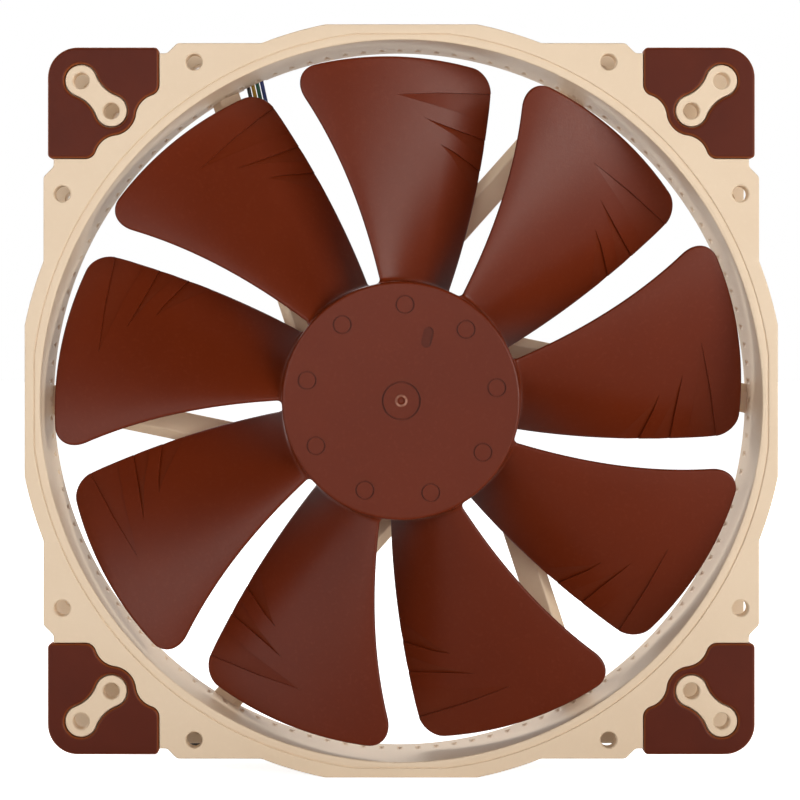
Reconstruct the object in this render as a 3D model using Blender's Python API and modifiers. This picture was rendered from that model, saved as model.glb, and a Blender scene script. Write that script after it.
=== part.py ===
"""A 200 mm computer case fan, modelled as the separate pieces that it is made of.

Units are metres. The rotor's axis is Y, the intake side faces -Y, and +Z is up. The origin is
on the axis at half the fan's depth. The fan stands on the two lower flats of its frame.
A flat outline is drawn as (x, z), as it looks from the intake side.
"""

from math import asin, atan2, ceil, cos, pi, radians, sin, sqrt

import bmesh
import bpy
from mathutils import Matrix, Vector

MM = 0.001

# Frame: two square flanges joined by the round duct.
HALF_WIDTH = 100 * MM  # to the flat on each side's bulge
HALF_SQUARE = 95 * MM  # to the straight sides
BULGE_R = 102 * MM
CORNER_STEP = 59.5 * MM  # where a side steps in towards its pad
HALF_CORNER = 92.3 * MM  # to the flange's sides under the pads
CORNER_R = 6.5 * MM
HALF_DEPTH = 15 * MM  # to the pads' faces
FLANGE_FACE = 14.5 * MM
FLANGE_T = 5 * MM
RING_FACE = 14.2 * MM
BORE_R = 95.9 * MM
RING_R = 98.4 * MM
STEP_R = 97.5 * MM  # the shallow step round the inlet
ROUND_STEPS = 72

# Mounting holes.
HOLE_R = 2.15 * MM
EDGE_HOLE = (55 * MM, 90 * MM)
CORNER_HOLES = (77 * MM, 85 * MM)

# Silicone corner pads and the bone-shaped bosses that stand through them.
PAD_OUTER = 93.8 * MM
PAD_END = 64.4 * MM
PAD_CORNER_R = 8 * MM
PAD_END_R = 2.7 * MM
PAD_NOTCH_R = 6.4 * MM
PAD_NOTCH = (64.3 * MM, 75.2 * MM)
PAD_BOSS_R = 6.45 * MM
PAD_RECESS = 2.2 * MM
BONE_R = 4.15 * MM
BONE_WAIST = 2.9 * MM
GAP = 0.3 * MM  # between pieces that touch

# Struts, which run past the axis on one side.
STRUTS = 6
STRUT_TURN = radians(-11.7)
STRUT_OFFSET = 19.6 * MM
STRUT_W = 8 * MM
STRUT_CREST = 0.7  # the crest's place across the strut
STRUT_FRONT = 9.5 * MM
STRUT_REAR = 14 * MM

# Motor base, in the middle of the struts.
BASE_R = 31.3 * MM
BASE_WALL = 1.6 * MM
BASE_FRONT = 9 * MM
BASE_FLOOR = 13 * MM
LABEL_R = 27 * MM
LABEL_RECESS = 0.6 * MM
POST_R = 6.6 * MM

# Impeller.
BLADES = 9
HUB_R = 31.8 * MM
HUB_FACE = 13.5 * MM
HUB_REAR = 8 * MM
HUB_WALL = 2 * MM
HUB_PLATE = 1.8 * MM
TIP_R = 92.8 * MM
BLADE_T = 1.4 * MM
ROOT_R = 30.6 * MM
LEAD_ROUND = 8 * MM
TRAIL_ROUND = 6 * MM
LEAD_Y = (-11.6 * MM, -10.4 * MM)  # the leading edge's depth at root and tip
TRAIL_Y = (6.6 * MM, 6 * MM)
CAMBER = 1.45

# Motor.
CUP_R = 29.5 * MM
CUP_WALL = 0.8 * MM
CUP_REAR = 7.5 * MM
MAGNET_R = (25.6 * MM, 28.4 * MM)
MAGNET_HALF = 6 * MM
STATOR_R = 24.8 * MM
STATOR_BORE = 4.6 * MM
STATOR_HUB = 8 * MM
POLES = 4
POLE_W = 7 * MM
POLE_SHOE = radians(66)
CORE_HALF = 4 * MM
INSULATOR = (4.3 * MM, 6.3 * MM)
COIL_REACH = (9 * MM, 20.5 * MM)
COIL_T = 2.2 * MM
TUBE_R = (3 * MM, 4.2 * MM)
SLEEVE_R = (1.55 * MM, 2.7 * MM)
SHAFT_R = 1.5 * MM
SHAFT_REAR = 12 * MM
BUSH_R = 4.5 * MM
BUSH_REAR = -7.6 * MM
CLIP_R = 2.6 * MM
CLIP_Y = (8.9 * MM, 9.4 * MM)
CLIP_GAP = radians(28)  # half the clip's opening
TUBE_FRONT = -6.8 * MM
SLEEVE_Y = (-5.5 * MM, 8.6 * MM)
SEAL_R = 1.8 * MM
SEAL_Y = (-6.7 * MM, -5.8 * MM)
BEARING_MAGNET_R = 1.9 * MM
BEARING_MAGNET_Y = (9.7 * MM, 11 * MM)
THRUST_Y = (12.3 * MM, 12.8 * MM)
BOARD_R = 27.5 * MM
BOARD_Y = (9.4 * MM, 10.6 * MM)
CHIP_SIZE = (5 * MM, 1.5 * MM, 4 * MM)
CHIP_AT = (13 * MM, -10 * MM)
CAPACITOR_SIZE = (3.2 * MM, 1.6 * MM, 2.5 * MM)
CAPACITOR_AT = (-12 * MM, -12 * MM)
SENSOR_SIZE = (3 * MM, 1.4 * MM, 2.4 * MM)
SENSOR_R = 25.4 * MM
SENSOR_TURN = radians(45)
LABEL_T = 0.2 * MM

# Lead wires, held by the frame from the board to the grommet.
WIRE_R = 0.55 * MM
WIRE_PITCH = 1.3 * MM
WIRE_Y = 11.9 * MM
WIRED_STRUT = 2  # the leads run along this strut
LEADS_ASIDE_MM = ((19, 13.0), (26, 13.0), (45, 12.9), (64, 12.6), (80, 11.9))  # out, aside
CROSSING_Y = 13.65 * MM
NOTCH_FLOOR = 12.2 * MM
RIBBON_W = 4 * WIRE_PITCH + 1.2 * MM  # the notches' width
RIM_NOTCH = (10 * MM, 1.9 * MM)
EDGE_NOTCH_L = 14 * MM
FLANGE_SLOT = (6 * MM, 12 * MM)
SLOT_OUT = 2.9 * MM  # from the duct to the slot's middle
CROSSING = (-40 * MM, 86.7 * MM)  # the middle of the wires, where they cross the duct's edge
CROSSING_TURN = radians(102.5)
LAID_R = RING_R + WIRE_R + GAP  # the wires' radius along the outside of the duct
LAID_Y = -1.5 * MM
TURN_R = 4.5 * MM
GROMMET = (-92.4 * MM, 45 * MM)
GROMMET_R = 2.6 * MM
GROMMET_LIP = 3.4 * MM
GROMMET_LIP_T = 1 * MM
GROMMET_MOUTH = (8 * MM, 7.2 * MM, 5 * MM)  # the way in from the frame's side

# Free cable: sleeve, shrink tube, four short wires and a four-way connector.
CABLE_R = 2 * MM
CABLE_ROUTE_MM = (
    (-92.4, 16.3, 45.0),
    (-92.5, 20.6, 44.4),
    (-93.2, 24.9, 41.2),
    (-94.7, 27.6, 35.2),
    (-96.9, 28.5, 27.0),
    (-99.2, 28.3, 16.0),
    (-100.4, 27.7, 4.0),
    (-100.6, 27.0, -8.0),
    (-100.0, 26.3, -22.0),
    (-98.6, 25.6, -38.0),
    (-96.8, 25.0, -54.0),
    (-94.6, 24.4, -68.0),
    (-91.0, 23.8, -80.5),
    (-85.0, 23.2, -90.0),
    (-76.0, 22.6, -94.5),
    (-66.0, 22.2, -96.3),
    (-57.0, 22.0, -97.3),
)
SHRINK_R = 2.3 * MM
SHRINK_L = 5 * MM
PLUG_WIRE_L = 8 * MM
PLUG_PITCH = 2.54 * MM
PLUG_SIZE = (12 * MM, 10.4 * MM, 5.8 * MM)
FLOOR_Z = -HALF_WIDTH

for old in list(bpy.data.objects):
    bpy.data.objects.remove(old, do_unlink=True)

parts = bpy.data.collections.new("case_fan")
cutters = bpy.data.collections.new("case_fan_cutters")
for group in (parts, cutters):
    bpy.context.scene.collection.children.link(group)


def material(name, colour, roughness=0.5, metallic=0.0):
    made = bpy.data.materials.new(name)
    made.use_nodes = True
    shader = made.node_tree.nodes["Principled BSDF"]
    shader.inputs["Base Color"].default_value = (*colour, 1)
    shader.inputs["Roughness"].default_value = roughness
    shader.inputs["Metallic"].default_value = metallic
    return made


MATERIALS = {
    "beige_plastic": material("beige_plastic", (0.82, 0.66, 0.49), 0.45),
    "brown_plastic": material("brown_plastic", (0.16, 0.045, 0.025), 0.42),
    "brown_silicone": material("brown_silicone", (0.09, 0.022, 0.012), 0.4),
    "steel": material("steel", (0.55, 0.55, 0.56), 0.3, 1.0),
    "laminations": material("laminations", (0.32, 0.32, 0.34), 0.45, 1.0),
    "brass": material("brass", (0.75, 0.56, 0.27), 0.3, 1.0),
    "copper": material("copper", (0.62, 0.28, 0.13), 0.35, 1.0),
    "magnet": material("magnet", (0.05, 0.048, 0.045), 0.7),
    "nylon": material("nylon", (0.78, 0.76, 0.7), 0.5),
    "board_green": material("board_green", (0.02, 0.12, 0.05), 0.35),
    "black_plastic": material("black_plastic", (0.012, 0.012, 0.012), 0.4),
    "ceramic": material("ceramic", (0.35, 0.24, 0.14), 0.5),
    "label": material("label", (0.06, 0.02, 0.014), 0.35),
    "black_wire": material("black_wire", (0.012, 0.012, 0.013), 0.4),
    "yellow_wire": material("yellow_wire", (0.6, 0.33, 0.01), 0.4),
    "green_wire": material("green_wire", (0.015, 0.16, 0.09), 0.4),
    "blue_wire": material("blue_wire", (0.02, 0.045, 0.22), 0.4),
    "sleeving": material("sleeving", (0.014, 0.014, 0.015), 0.6),
}
WIRE_COLOURS = ("black", "yellow", "green", "blue")


def placed(shape, group=parts, slot=None):
    """Puts a new object in its collection and gives it its material."""
    for other in list(shape.users_collection):
        other.objects.unlink(shape)
    group.objects.link(shape)
    if group is cutters:
        shape.hide_render = True
        shape.display_type = "WIRE"
    if slot:
        shape.data.materials.clear()
        shape.data.materials.append(MATERIALS[slot])
    return shape


def mesh_of(curve):
    """Replaces a curve object with a welded mesh object in the same place."""
    bpy.context.view_layer.update()
    evaluated = curve.evaluated_get(bpy.context.evaluated_depsgraph_get())
    mesh = bpy.data.meshes.new_from_object(evaluated)
    work = bmesh.new()
    work.from_mesh(mesh)
    bmesh.ops.remove_doubles(work, verts=work.verts, dist=1e-6)
    bmesh.ops.recalc_face_normals(work, faces=work.faces)
    work.to_mesh(mesh)
    work.free()
    made = bpy.data.objects.new(curve.name, mesh)
    made.matrix_world = curve.matrix_world.copy()
    name = curve.name
    bpy.data.objects.remove(curve, do_unlink=True)
    made.name = name
    bpy.context.scene.collection.objects.link(made)
    return made


def extruded(name, loops, length, frame):
    """A flat outline with holes, as (u, v) loops, extruded length/2 to both sides of frame."""
    curve = bpy.data.curves.new(name, "CURVE")
    curve.dimensions = "2D"
    curve.fill_mode = "BOTH"
    curve.extrude = length / 2
    for loop in loops:
        spline = curve.splines.new("POLY")
        spline.points.add(len(loop) - 1)
        for point, (u, v) in zip(spline.points, loop):
            point.co = (u, v, 0, 1)
        spline.use_cyclic_u = True
    shape = bpy.data.objects.new(name, curve)
    bpy.context.scene.collection.objects.link(shape)
    shape.matrix_world = frame
    return mesh_of(shape)


def plate(name, loops, front, rear, group=parts, slot=None):
    """Outlines seen from the intake side, between two depths."""
    upright = Matrix.Rotation(pi / 2, 4, "X")
    frame = Matrix.Translation((0, (front + rear) / 2, 0)) @ upright
    return placed(extruded(name, loops, rear - front, frame), group, slot)


def turned(name, profile, slot=None, steps=ROUND_STEPS, group=parts, closed=True):
    """A profile of (radius, depth) points turned round the fan's axis."""
    count = len(profile)
    points = [(r, 0, -y) for r, y in profile]
    edges = [(i, i + 1) for i in range(count - 1)]
    if closed:
        edges.append((count - 1, 0))
    mesh = bpy.data.meshes.new(name)
    mesh.from_pydata(points, edges, [])
    shape = bpy.data.objects.new(name, mesh)
    shape.rotation_euler = (pi / 2, 0, 0)
    screw = shape.modifiers.new("turn", "SCREW")
    screw.axis = "Z"
    screw.angle = 2 * pi
    screw.steps = screw.render_steps = steps
    screw.use_merge_vertices = True
    screw.merge_threshold = 1e-6
    return placed(shape, group, slot)


def ring(name, inner, outer, front, rear, slot=None, steps=48, group=parts):
    profile = [(outer, front), (outer, rear), (inner, rear), (inner, front)]
    return turned(name, profile, slot, steps, group)


def disc(name, radius, front, rear, slot=None, steps=48, group=parts):
    profile = [(0, front), (radius, front), (radius, rear), (0, rear)]
    return turned(name, profile, slot, steps, group, closed=False)


def box(name, size, centre, slot=None, group=parts, turn=0.0):
    bpy.ops.mesh.primitive_cube_add(size=1)
    shape = bpy.context.object
    shape.name = name
    shape.data.transform(Matrix.Diagonal((*size, 1)))
    shape.matrix_world = Matrix.Translation(centre) @ Matrix.Rotation(turn, 4, "Y")
    return placed(shape, group, slot)


def boolean(shape, other, operation):
    step = shape.modifiers.new(other.name, "BOOLEAN")
    step.object = other
    step.operation = operation
    step.solver = "EXACT"


def joined(name, shapes, group=cutters):
    """Makes one mesh object of several that stay clear of each other."""
    work = bmesh.new()
    for shape in shapes:
        bpy.context.view_layer.update()
        evaluated = shape.evaluated_get(bpy.context.evaluated_depsgraph_get())
        mesh = bpy.data.meshes.new_from_object(evaluated)
        mesh.transform(shape.matrix_world)
        work.from_mesh(mesh)
        bpy.data.meshes.remove(mesh)
        bpy.data.objects.remove(shape, do_unlink=True)
    mesh = bpy.data.meshes.new(name)
    work.to_mesh(mesh)
    work.free()
    return placed(bpy.data.objects.new(name, mesh), group)


def smooth_edges(shape, angle=radians(35)):
    shape.data.shade_smooth()
    shape.data.set_sharp_from_angle(angle=angle)


def arc(centre, radius, start, end, steps):
    """Points from one angle to another, both included."""
    turns = [start + (end - start) * i / steps for i in range(steps + 1)]
    return [(centre[0] + radius * cos(a), centre[1] + radius * sin(a)) for a in turns]


def circle(centre, radius, steps=16):
    return arc(centre, radius, 0, 2 * pi, steps)[:-1]


def swapped(points):
    """Points mirrored about the diagonal and put in the opposite order."""
    return [(v, u) for u, v in reversed(points)]


def quarter_turns(points, count=4):
    """The points, then the same points turned on clockwise in steps of a quarter."""
    out = []
    for _ in range(count):
        out += points
        points = [(v, -u) for u, v in points]
    return out


def flange_outline():
    flat = sqrt(BULGE_R**2 - HALF_WIDTH**2)
    meet = sqrt(BULGE_R**2 - HALF_SQUARE**2)
    step = HALF_SQUARE - HALF_CORNER
    corner = (HALF_CORNER - CORNER_R,) * 2
    bulge = arc((0, 0), BULGE_R, atan2(HALF_WIDTH, flat), atan2(HALF_SQUARE, meet), 3)
    side = [(CORNER_STEP, HALF_SQUARE), (CORNER_STEP + step, HALF_CORNER)]
    octant = bulge + side + arc(corner, CORNER_R, pi / 2, pi / 4, 3)
    return quarter_turns(octant + swapped(octant)[1:])


def pad_outline(grow=0.0):
    """The pad of the corner at +X and +Z, grown outwards all round."""
    low = PAD_END - grow
    high = PAD_OUTER + grow
    notch = Vector(PAD_NOTCH)
    boss = Vector((CORNER_HOLES[0],) * 2)
    end_x = PAD_END + PAD_END_R
    reach = PAD_NOTCH_R + PAD_END_R
    end_z = notch.y + sqrt(reach**2 - (end_x - notch.x) ** 2)
    end_angle = atan2(end_z - notch.y, end_x - notch.x)
    boss_angle = atan2(boss.y - notch.y, boss.x - notch.x)
    half = [(low, high)]
    half += arc((end_x, end_z), PAD_END_R + grow, pi, pi + end_angle, 2)
    half += arc(notch, PAD_NOTCH_R - grow, end_angle, boss_angle, 3)[1:]
    half += arc(boss, PAD_BOSS_R + grow, pi + boss_angle, 5 * pi / 4, 2)[1:]
    inner = half + swapped(half)[1:]
    corner = (PAD_OUTER - PAD_CORNER_R,) * 2
    return inner + arc(corner, PAD_CORNER_R + grow, 0, pi / 2, 4)


def bone_outline(grow=0.0):
    """Two round ends on the diagonal, joined by a hollow-sided waist."""
    first, last = (Vector((hole, hole)) for hole in CORNER_HOLES)
    half = (last - first).length / 2
    hollow = (half**2 + BONE_WAIST**2 - BONE_R**2) / (2 * (BONE_R - BONE_WAIST))
    height = BONE_WAIST + hollow
    lean = atan2(height, half)
    side = []
    side += arc((half, 0), BONE_R + grow, -(pi - lean), pi - lean, 8)
    side += arc((0, height), hollow - grow, lean - pi, -lean, 3)[::-1][1:-1]
    whole = side + [(-u, -v) for u, v in side]
    middle = (first + last) / 2
    turn = Matrix.Rotation(pi / 4, 2)
    return [tuple(middle + turn @ Vector(point)) for point in whole]


def corner_copies(points):
    """The same outline in the four corners of the frame."""
    signs = ((1, 1), (1, -1), (-1, -1), (-1, 1))
    return [[(a * u, b * v) for u, v in points] for a, b in signs]


def all_holes():
    a, b = EDGE_HOLE
    edge = [(s * a, t * b) for s in (-1, 1) for t in (-1, 1)]
    edge += [(v, u) for u, v in edge]
    corner = [(s * c, t * c) for c in CORNER_HOLES for s in (-1, 1) for t in (-1, 1)]
    return [circle(hole, HOLE_R, 10) for hole in edge + corner]


def depths(side, near, far):
    """Two depths in rising order, on the intake side (-1) or the exhaust side (+1)."""
    return sorted((side * near, side * far))


def flange(name, side):
    loops = [flange_outline(), circle((0, 0), STEP_R, ROUND_STEPS), *all_holes()]
    inner = FLANGE_FACE - FLANGE_T
    made = plate(name, loops, *depths(side, inner, FLANGE_FACE), cutters)
    floor = FLANGE_FACE - PAD_RECESS
    bones = corner_copies(bone_outline())
    recesses = []
    for i, outline in enumerate(corner_copies(pad_outline(GAP))):
        over = depths(side, floor, HALF_DEPTH + 5 * MM)
        recesses.append(plate(f"recess_{i}", [outline, bones[i]], *over, cutters))
    boolean(made, joined(f"{name}_recesses", recesses), "DIFFERENCE")
    return made


def strut_frame(i):
    """The strut's matrix: X across it, Y along the fan's depth, Z towards the hub."""
    turn = 2 * pi * i / STRUTS + STRUT_TURN
    along = Vector((cos(turn), 0, sin(turn)))
    across = Vector((-sin(turn), 0, cos(turn)))
    frame = Matrix((across, (0, 1, 0), -along)).transposed().to_4x4()
    return frame, along, across


def strut(i):
    frame, along, across = strut_frame(i)
    half = STRUT_W / 2
    crest = -half + STRUT_CREST * STRUT_W
    section = [
        (-half, STRUT_REAR),
        (-half, STRUT_FRONT + 3 * MM),
        (crest, STRUT_FRONT),
        (half, STRUT_FRONT + 2 * MM),
        (half, STRUT_REAR),
    ]
    outer = sqrt((RING_R - 1.2 * MM) ** 2 - STRUT_OFFSET**2)
    inner = sqrt(BASE_R**2 - (STRUT_OFFSET + half) ** 2) - 3 * MM
    frame.translation = along * (outer + inner) / 2 + across * STRUT_OFFSET
    return placed(extruded(f"strut_{i}", [section], outer - inner, frame), cutters)


def motor_base():
    thin = LABEL_RECESS
    profile = [
        (0, BASE_FLOOR + GAP),
        (TUBE_R[1] + GAP, BASE_FLOOR + GAP),
        (TUBE_R[1] + GAP, BASE_FLOOR - 1.8 * MM),
        (POST_R, BASE_FLOOR - 1.8 * MM),
        (POST_R, BASE_FLOOR),
        (BASE_R - BASE_WALL, BASE_FLOOR),
        (BASE_R - BASE_WALL, BASE_FRONT),
        (BASE_R, BASE_FRONT),
        (BASE_R, FLANGE_FACE),
        (LABEL_R, FLANGE_FACE),
        (LABEL_R, FLANGE_FACE - thin),
        (0, FLANGE_FACE - thin),
    ]
    return turned("motor_base", profile, steps=36, group=cutters, closed=False)


def beside_strut(out, aside):
    """A point level with the leads, beside the strut that they run along."""
    _, along, across = strut_frame(WIRED_STRUT)
    return along * out + across * aside + Vector((0, WIRE_Y, 0))


def wire_cuts():
    """Notches for the wires in the base's rim, in the duct's rear edge and for the grommet."""
    turn = -(2 * pi * WIRED_STRUT / STRUTS + STRUT_TURN)
    rim = beside_strut(BASE_R - 3.7 * MM, LEADS_ASIDE_MM[0][1] * MM)
    cuts = [box("rim_notch", (*RIM_NOTCH, RIBBON_W), rim, group=cutters, turn=turn)]
    past, heading = wires_over()
    edge = Vector((CROSSING[0], HALF_DEPTH, CROSSING[1])) + heading * 2 * MM
    channel = (EDGE_NOTCH_L, 2 * (HALF_DEPTH - NOTCH_FLOOR), RIBBON_W)
    cuts.append(box("edge_notch", channel, edge, group=cutters, turn=-CROSSING_TURN))
    out = past.normalized() * (RING_R + SLOT_OUT)
    slot = (*FLANGE_SLOT, RIBBON_W + 2 * GAP)
    place = Vector((out.x, FLANGE_FACE, out.z))
    facing = -atan2(out.z, out.x)
    cuts.append(box("flange_slot", slot, place, group=cutters, turn=facing))
    bore = circle(GROMMET, GROMMET_R + GAP, 16)
    inner = FLANGE_FACE - FLANGE_T
    cuts.append(plate("grommet_bore", [bore], inner - GAP, HALF_DEPTH + GAP, cutters))
    mouth = Vector((GROMMET[0] - 4 * MM, inner + FLANGE_T / 2, GROMMET[1]))
    cuts.append(box("grommet_mouth", GROMMET_MOUTH, mouth, group=cutters))
    return cuts


def wires_over():
    """The middle of the wires just past the duct's edge, and their outward direction."""
    heading = Vector((cos(CROSSING_TURN), 0, sin(CROSSING_TURN)))
    place = Vector((CROSSING[0], 0, CROSSING[1])) + heading * 4.6 * MM
    return place, heading


def make_frame():
    profile = [
        (RING_R, -RING_FACE),
        (RING_R, RING_FACE),
        (BORE_R, RING_FACE),
        (BORE_R, -RING_FACE),
    ]
    frame = turned("frame", profile, "beige_plastic")
    boolean(frame, flange("front_flange", -1), "UNION")
    boolean(frame, flange("rear_flange", 1), "UNION")
    struts = joined("struts", [strut(i) for i in range(STRUTS)])
    well_r = BASE_R - BASE_WALL / 2
    well = disc("motor_well", well_r, 5 * MM, BASE_FLOOR + GAP, steps=36, group=cutters)
    boolean(struts, well, "DIFFERENCE")
    boolean(frame, struts, "UNION")
    boolean(frame, motor_base(), "UNION")
    for cut in wire_cuts():
        boolean(frame, cut, "DIFFERENCE")
    smooth_edges(frame)


def make_pads():
    for side, word in ((-1, "front"), (1, "rear")):
        outlines = corner_copies(pad_outline())
        bones = corner_copies(bone_outline(GAP))
        face = depths(side, FLANGE_FACE - PAD_RECESS + GAP, HALF_DEPTH)
        skirt = depths(side, FLANGE_FACE - FLANGE_T + GAP, HALF_DEPTH - 1 * MM)
        for i, place in enumerate(("top_right", "low_right", "low_left", "top_left")):
            name = f"pad_{word}_{place}"
            pad = plate(name, [outlines[i], bones[i]], *face, slot="brown_silicone")
            wall = plate(f"{name}_wall", [corner_copies(pad_wall())[i]], *skirt, cutters)
            boolean(pad, wall, "UNION")
            smooth_edges(pad)


def pad_wall():
    """The strip that wraps round the flange's corner, clear of the flange."""
    low = PAD_END + 0.5 * MM
    inner = HALF_CORNER + GAP
    corner = (PAD_OUTER - PAD_CORNER_R,) * 2
    outside = arc(corner, PAD_CORNER_R - 0.02 * MM, 0, pi / 2, 4)
    inner_corner = (HALF_CORNER - CORNER_R,) * 2
    inside = arc(inner_corner, CORNER_R + GAP, pi / 2, 0, 4)
    reach = PAD_OUTER - 0.02 * MM
    return [(reach, low), *outside, (low, reach), (low, inner), *inside, (inner, low)]


def edge_angle(r, lead):
    """The blade's edge seen from the front, at a radius: the top blade's, in radians."""
    u = r / MM - 30
    if lead:
        return radians(99.74 + 0.0959 * u + 0.000871 * u * u)
    return radians(65.45 + 0.1535 * u - 0.000256 * u * u)


def rounded_off(r, corner):
    """How far a rounded tip corner pulls the edge in, as an angle."""
    over = max(0.0, r - (TIP_R - corner))
    return (corner - sqrt(max(0.0, corner**2 - over**2))) / r


def blade_point(r, share):
    """A point of the top blade's middle surface: share runs from leading to trailing edge."""
    lead = edge_angle(r, True)
    trail = edge_angle(r, False)
    first = lead - rounded_off(r, LEAD_ROUND)
    last = trail + rounded_off(r, TRAIL_ROUND)
    turn = first + (last - first) * share
    chord = (lead - turn) / (lead - trail)
    out = (r - HUB_R) / (TIP_R - HUB_R)
    front = LEAD_Y[0] + (LEAD_Y[1] - LEAD_Y[0]) * out
    rear = TRAIL_Y[0] + (TRAIL_Y[1] - TRAIL_Y[0]) * out
    return Vector((r * cos(turn), front + (rear - front) * chord**CAMBER, r * sin(turn)))


def blade(i, across=6):
    radii = [ROOT_R + (TIP_R - LEAD_ROUND - ROOT_R) * k / 4 for k in range(5)]
    radii += [TIP_R - LEAD_ROUND * (1 - sin(pi / 2 * k / 4)) for k in range(1, 5)]
    rows = [[blade_point(r, k / across) for k in range(across + 1)] for r in radii]
    points = [point for row in rows for point in row]
    wide = across + 1
    faces = [
        (a, a + 1, a + 1 + wide, a + wide)
        for row in range(len(radii) - 1)
        for a in range(row * wide, row * wide + across)
    ]
    mesh = bpy.data.meshes.new(f"blade_{i}")
    mesh.from_pydata(points, [], faces)
    mesh.transform(Matrix.Rotation(-2 * pi * i / BLADES, 4, "Y"))
    shape = bpy.data.objects.new(f"blade_{i}", mesh)
    solid = shape.modifiers.new("thickness", "SOLIDIFY")
    solid.thickness = BLADE_T
    solid.offset = 0
    return placed(shape, cutters)


def make_rotor(axle):
    wall = HUB_R - HUB_WALL
    profile = [
        (0, -HUB_FACE),
        (HUB_R - 0.8 * MM, -HUB_FACE),
        (HUB_R, -HUB_FACE + 0.8 * MM),
        (HUB_R, HUB_REAR),
        (wall, HUB_REAR),
        (wall, -HUB_FACE + HUB_PLATE),
        (0, -HUB_FACE + HUB_PLATE),
    ]
    impeller = turned("impeller", profile, "brown_plastic", 48, closed=False)
    boolean(impeller, joined("blades", [blade(i) for i in range(BLADES)]), "UNION")
    cup_front = -HUB_FACE + HUB_PLATE + GAP
    inner = CUP_R - CUP_WALL
    cup_profile = [
        (CUP_R, cup_front),
        (CUP_R, CUP_REAR),
        (inner, CUP_REAR),
        (inner, cup_front + CUP_WALL),
        (SHAFT_R + GAP, cup_front + CUP_WALL),
        (SHAFT_R + GAP, cup_front),
    ]
    cup = turned("rotor_cup", cup_profile, "steel", 32)
    magnet = ring("ring_magnet", *MAGNET_R, -MAGNET_HALF, MAGNET_HALF, "magnet", 32)
    bush_front = cup_front + CUP_WALL + GAP
    bush = ring("shaft_bush", SHAFT_R + GAP, BUSH_R, bush_front, BUSH_REAR, "brass", 20)
    shaft = disc("shaft", SHAFT_R, cup_front, SHAFT_REAR, "steel", 20)
    clip = plate("shaft_clip", [clip_outline()], *CLIP_Y, slot="steel")
    for piece in (impeller, cup, magnet, bush, shaft, clip):
        smooth_edges(piece)
        piece.parent = axle


def clip_outline():
    """A split ring, open downwards."""
    start, end = -pi / 2 + CLIP_GAP, 3 * pi / 2 - CLIP_GAP
    outer = arc((0, 0), CLIP_R, start, end, 16)
    inner = arc((0, 0), SHAFT_R + GAP, end, start, 16)
    return outer + inner


def star_outline(hub, arm, reach, shoe, shoe_t):
    """A stator's plan: a hub with an arm for each pole and a curved shoe on each arm."""
    quarter = []
    half = arm / 2
    shoe_in = reach - shoe_t
    for k in range(POLES):
        turn = pi / 2 * k
        start = asin(half / hub)
        quarter.append((hub * cos(turn - start), hub * sin(turn - start)))
        neck = asin(half / shoe_in)
        quarter += arc((0, 0), shoe_in, turn - neck, turn - shoe / 2, 2)
        quarter += arc((0, 0), reach, turn - shoe / 2, turn + shoe / 2, 8)
        quarter += arc((0, 0), shoe_in, turn + shoe / 2, turn + neck, 2)
        mid = pi / 2 - 2 * start
        quarter += arc((0, 0), hub, turn + start, turn + start + mid, 3)[:-1]
    return quarter


def make_stator():
    bore = circle((0, 0), STATOR_BORE, 24)
    core = star_outline(STATOR_HUB, POLE_W, STATOR_R, POLE_SHOE, 2.4 * MM)
    plate("stator_core", [core, bore], -CORE_HALF, CORE_HALF, slot="laminations")
    near, far = INSULATOR
    cover = star_outline(STATOR_HUB, POLE_W, STATOR_R - 0.6 * MM, POLE_SHOE * 0.9, 1.5 * MM)
    for side, word in ((-1, "front"), (1, "rear")):
        plate(f"insulator_{word}", [cover, bore], *depths(side, near, far), slot="nylon")
    half_w = POLE_W / 2 + GAP
    half_h = far + GAP
    inner, outer = COIL_REACH
    for k in range(POLES):
        turn = pi / 2 * k
        radial = Vector((cos(turn), 0, sin(turn)))
        across = Vector((-sin(turn), 0, cos(turn)))
        frame = Matrix((across, (0, 1, 0), -radial)).transposed().to_4x4()
        frame.translation = radial * (inner + outer) / 2
        hole = [(half_w, half_h), (-half_w, half_h), (-half_w, -half_h), (half_w, -half_h)]
        wound = coil_outline(half_w + COIL_T, half_h + COIL_T, 1.6 * MM)
        coil = extruded(f"coil_{k + 1}", [wound, hole], outer - inner, frame)
        smooth_edges(placed(coil, parts, "copper"))


def coil_outline(half_w, half_h, corner):
    a, b = half_w - corner, half_h - corner
    centres = ((a, b), (-a, b), (-a, -b), (a, -b))
    return [p for k, c in enumerate(centres) for p in arc(c, corner, k * pi / 2, (k + 1) * pi / 2, 3)]


def make_bearing():
    outer = SLEEVE_R[1]
    ring("bearing_tube", *TUBE_R, TUBE_FRONT, BASE_FLOOR, "brass", 20)
    ring("bearing_sleeve", *SLEEVE_R, *SLEEVE_Y, "brass", 20)
    ring("oil_seal", SEAL_R, outer, *SEAL_Y, "black_plastic", 16)
    ring("bearing_magnet", BEARING_MAGNET_R, outer, *BEARING_MAGNET_Y, "magnet", 16)
    disc("thrust_pad", outer, *THRUST_Y, "nylon", 16)


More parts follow.
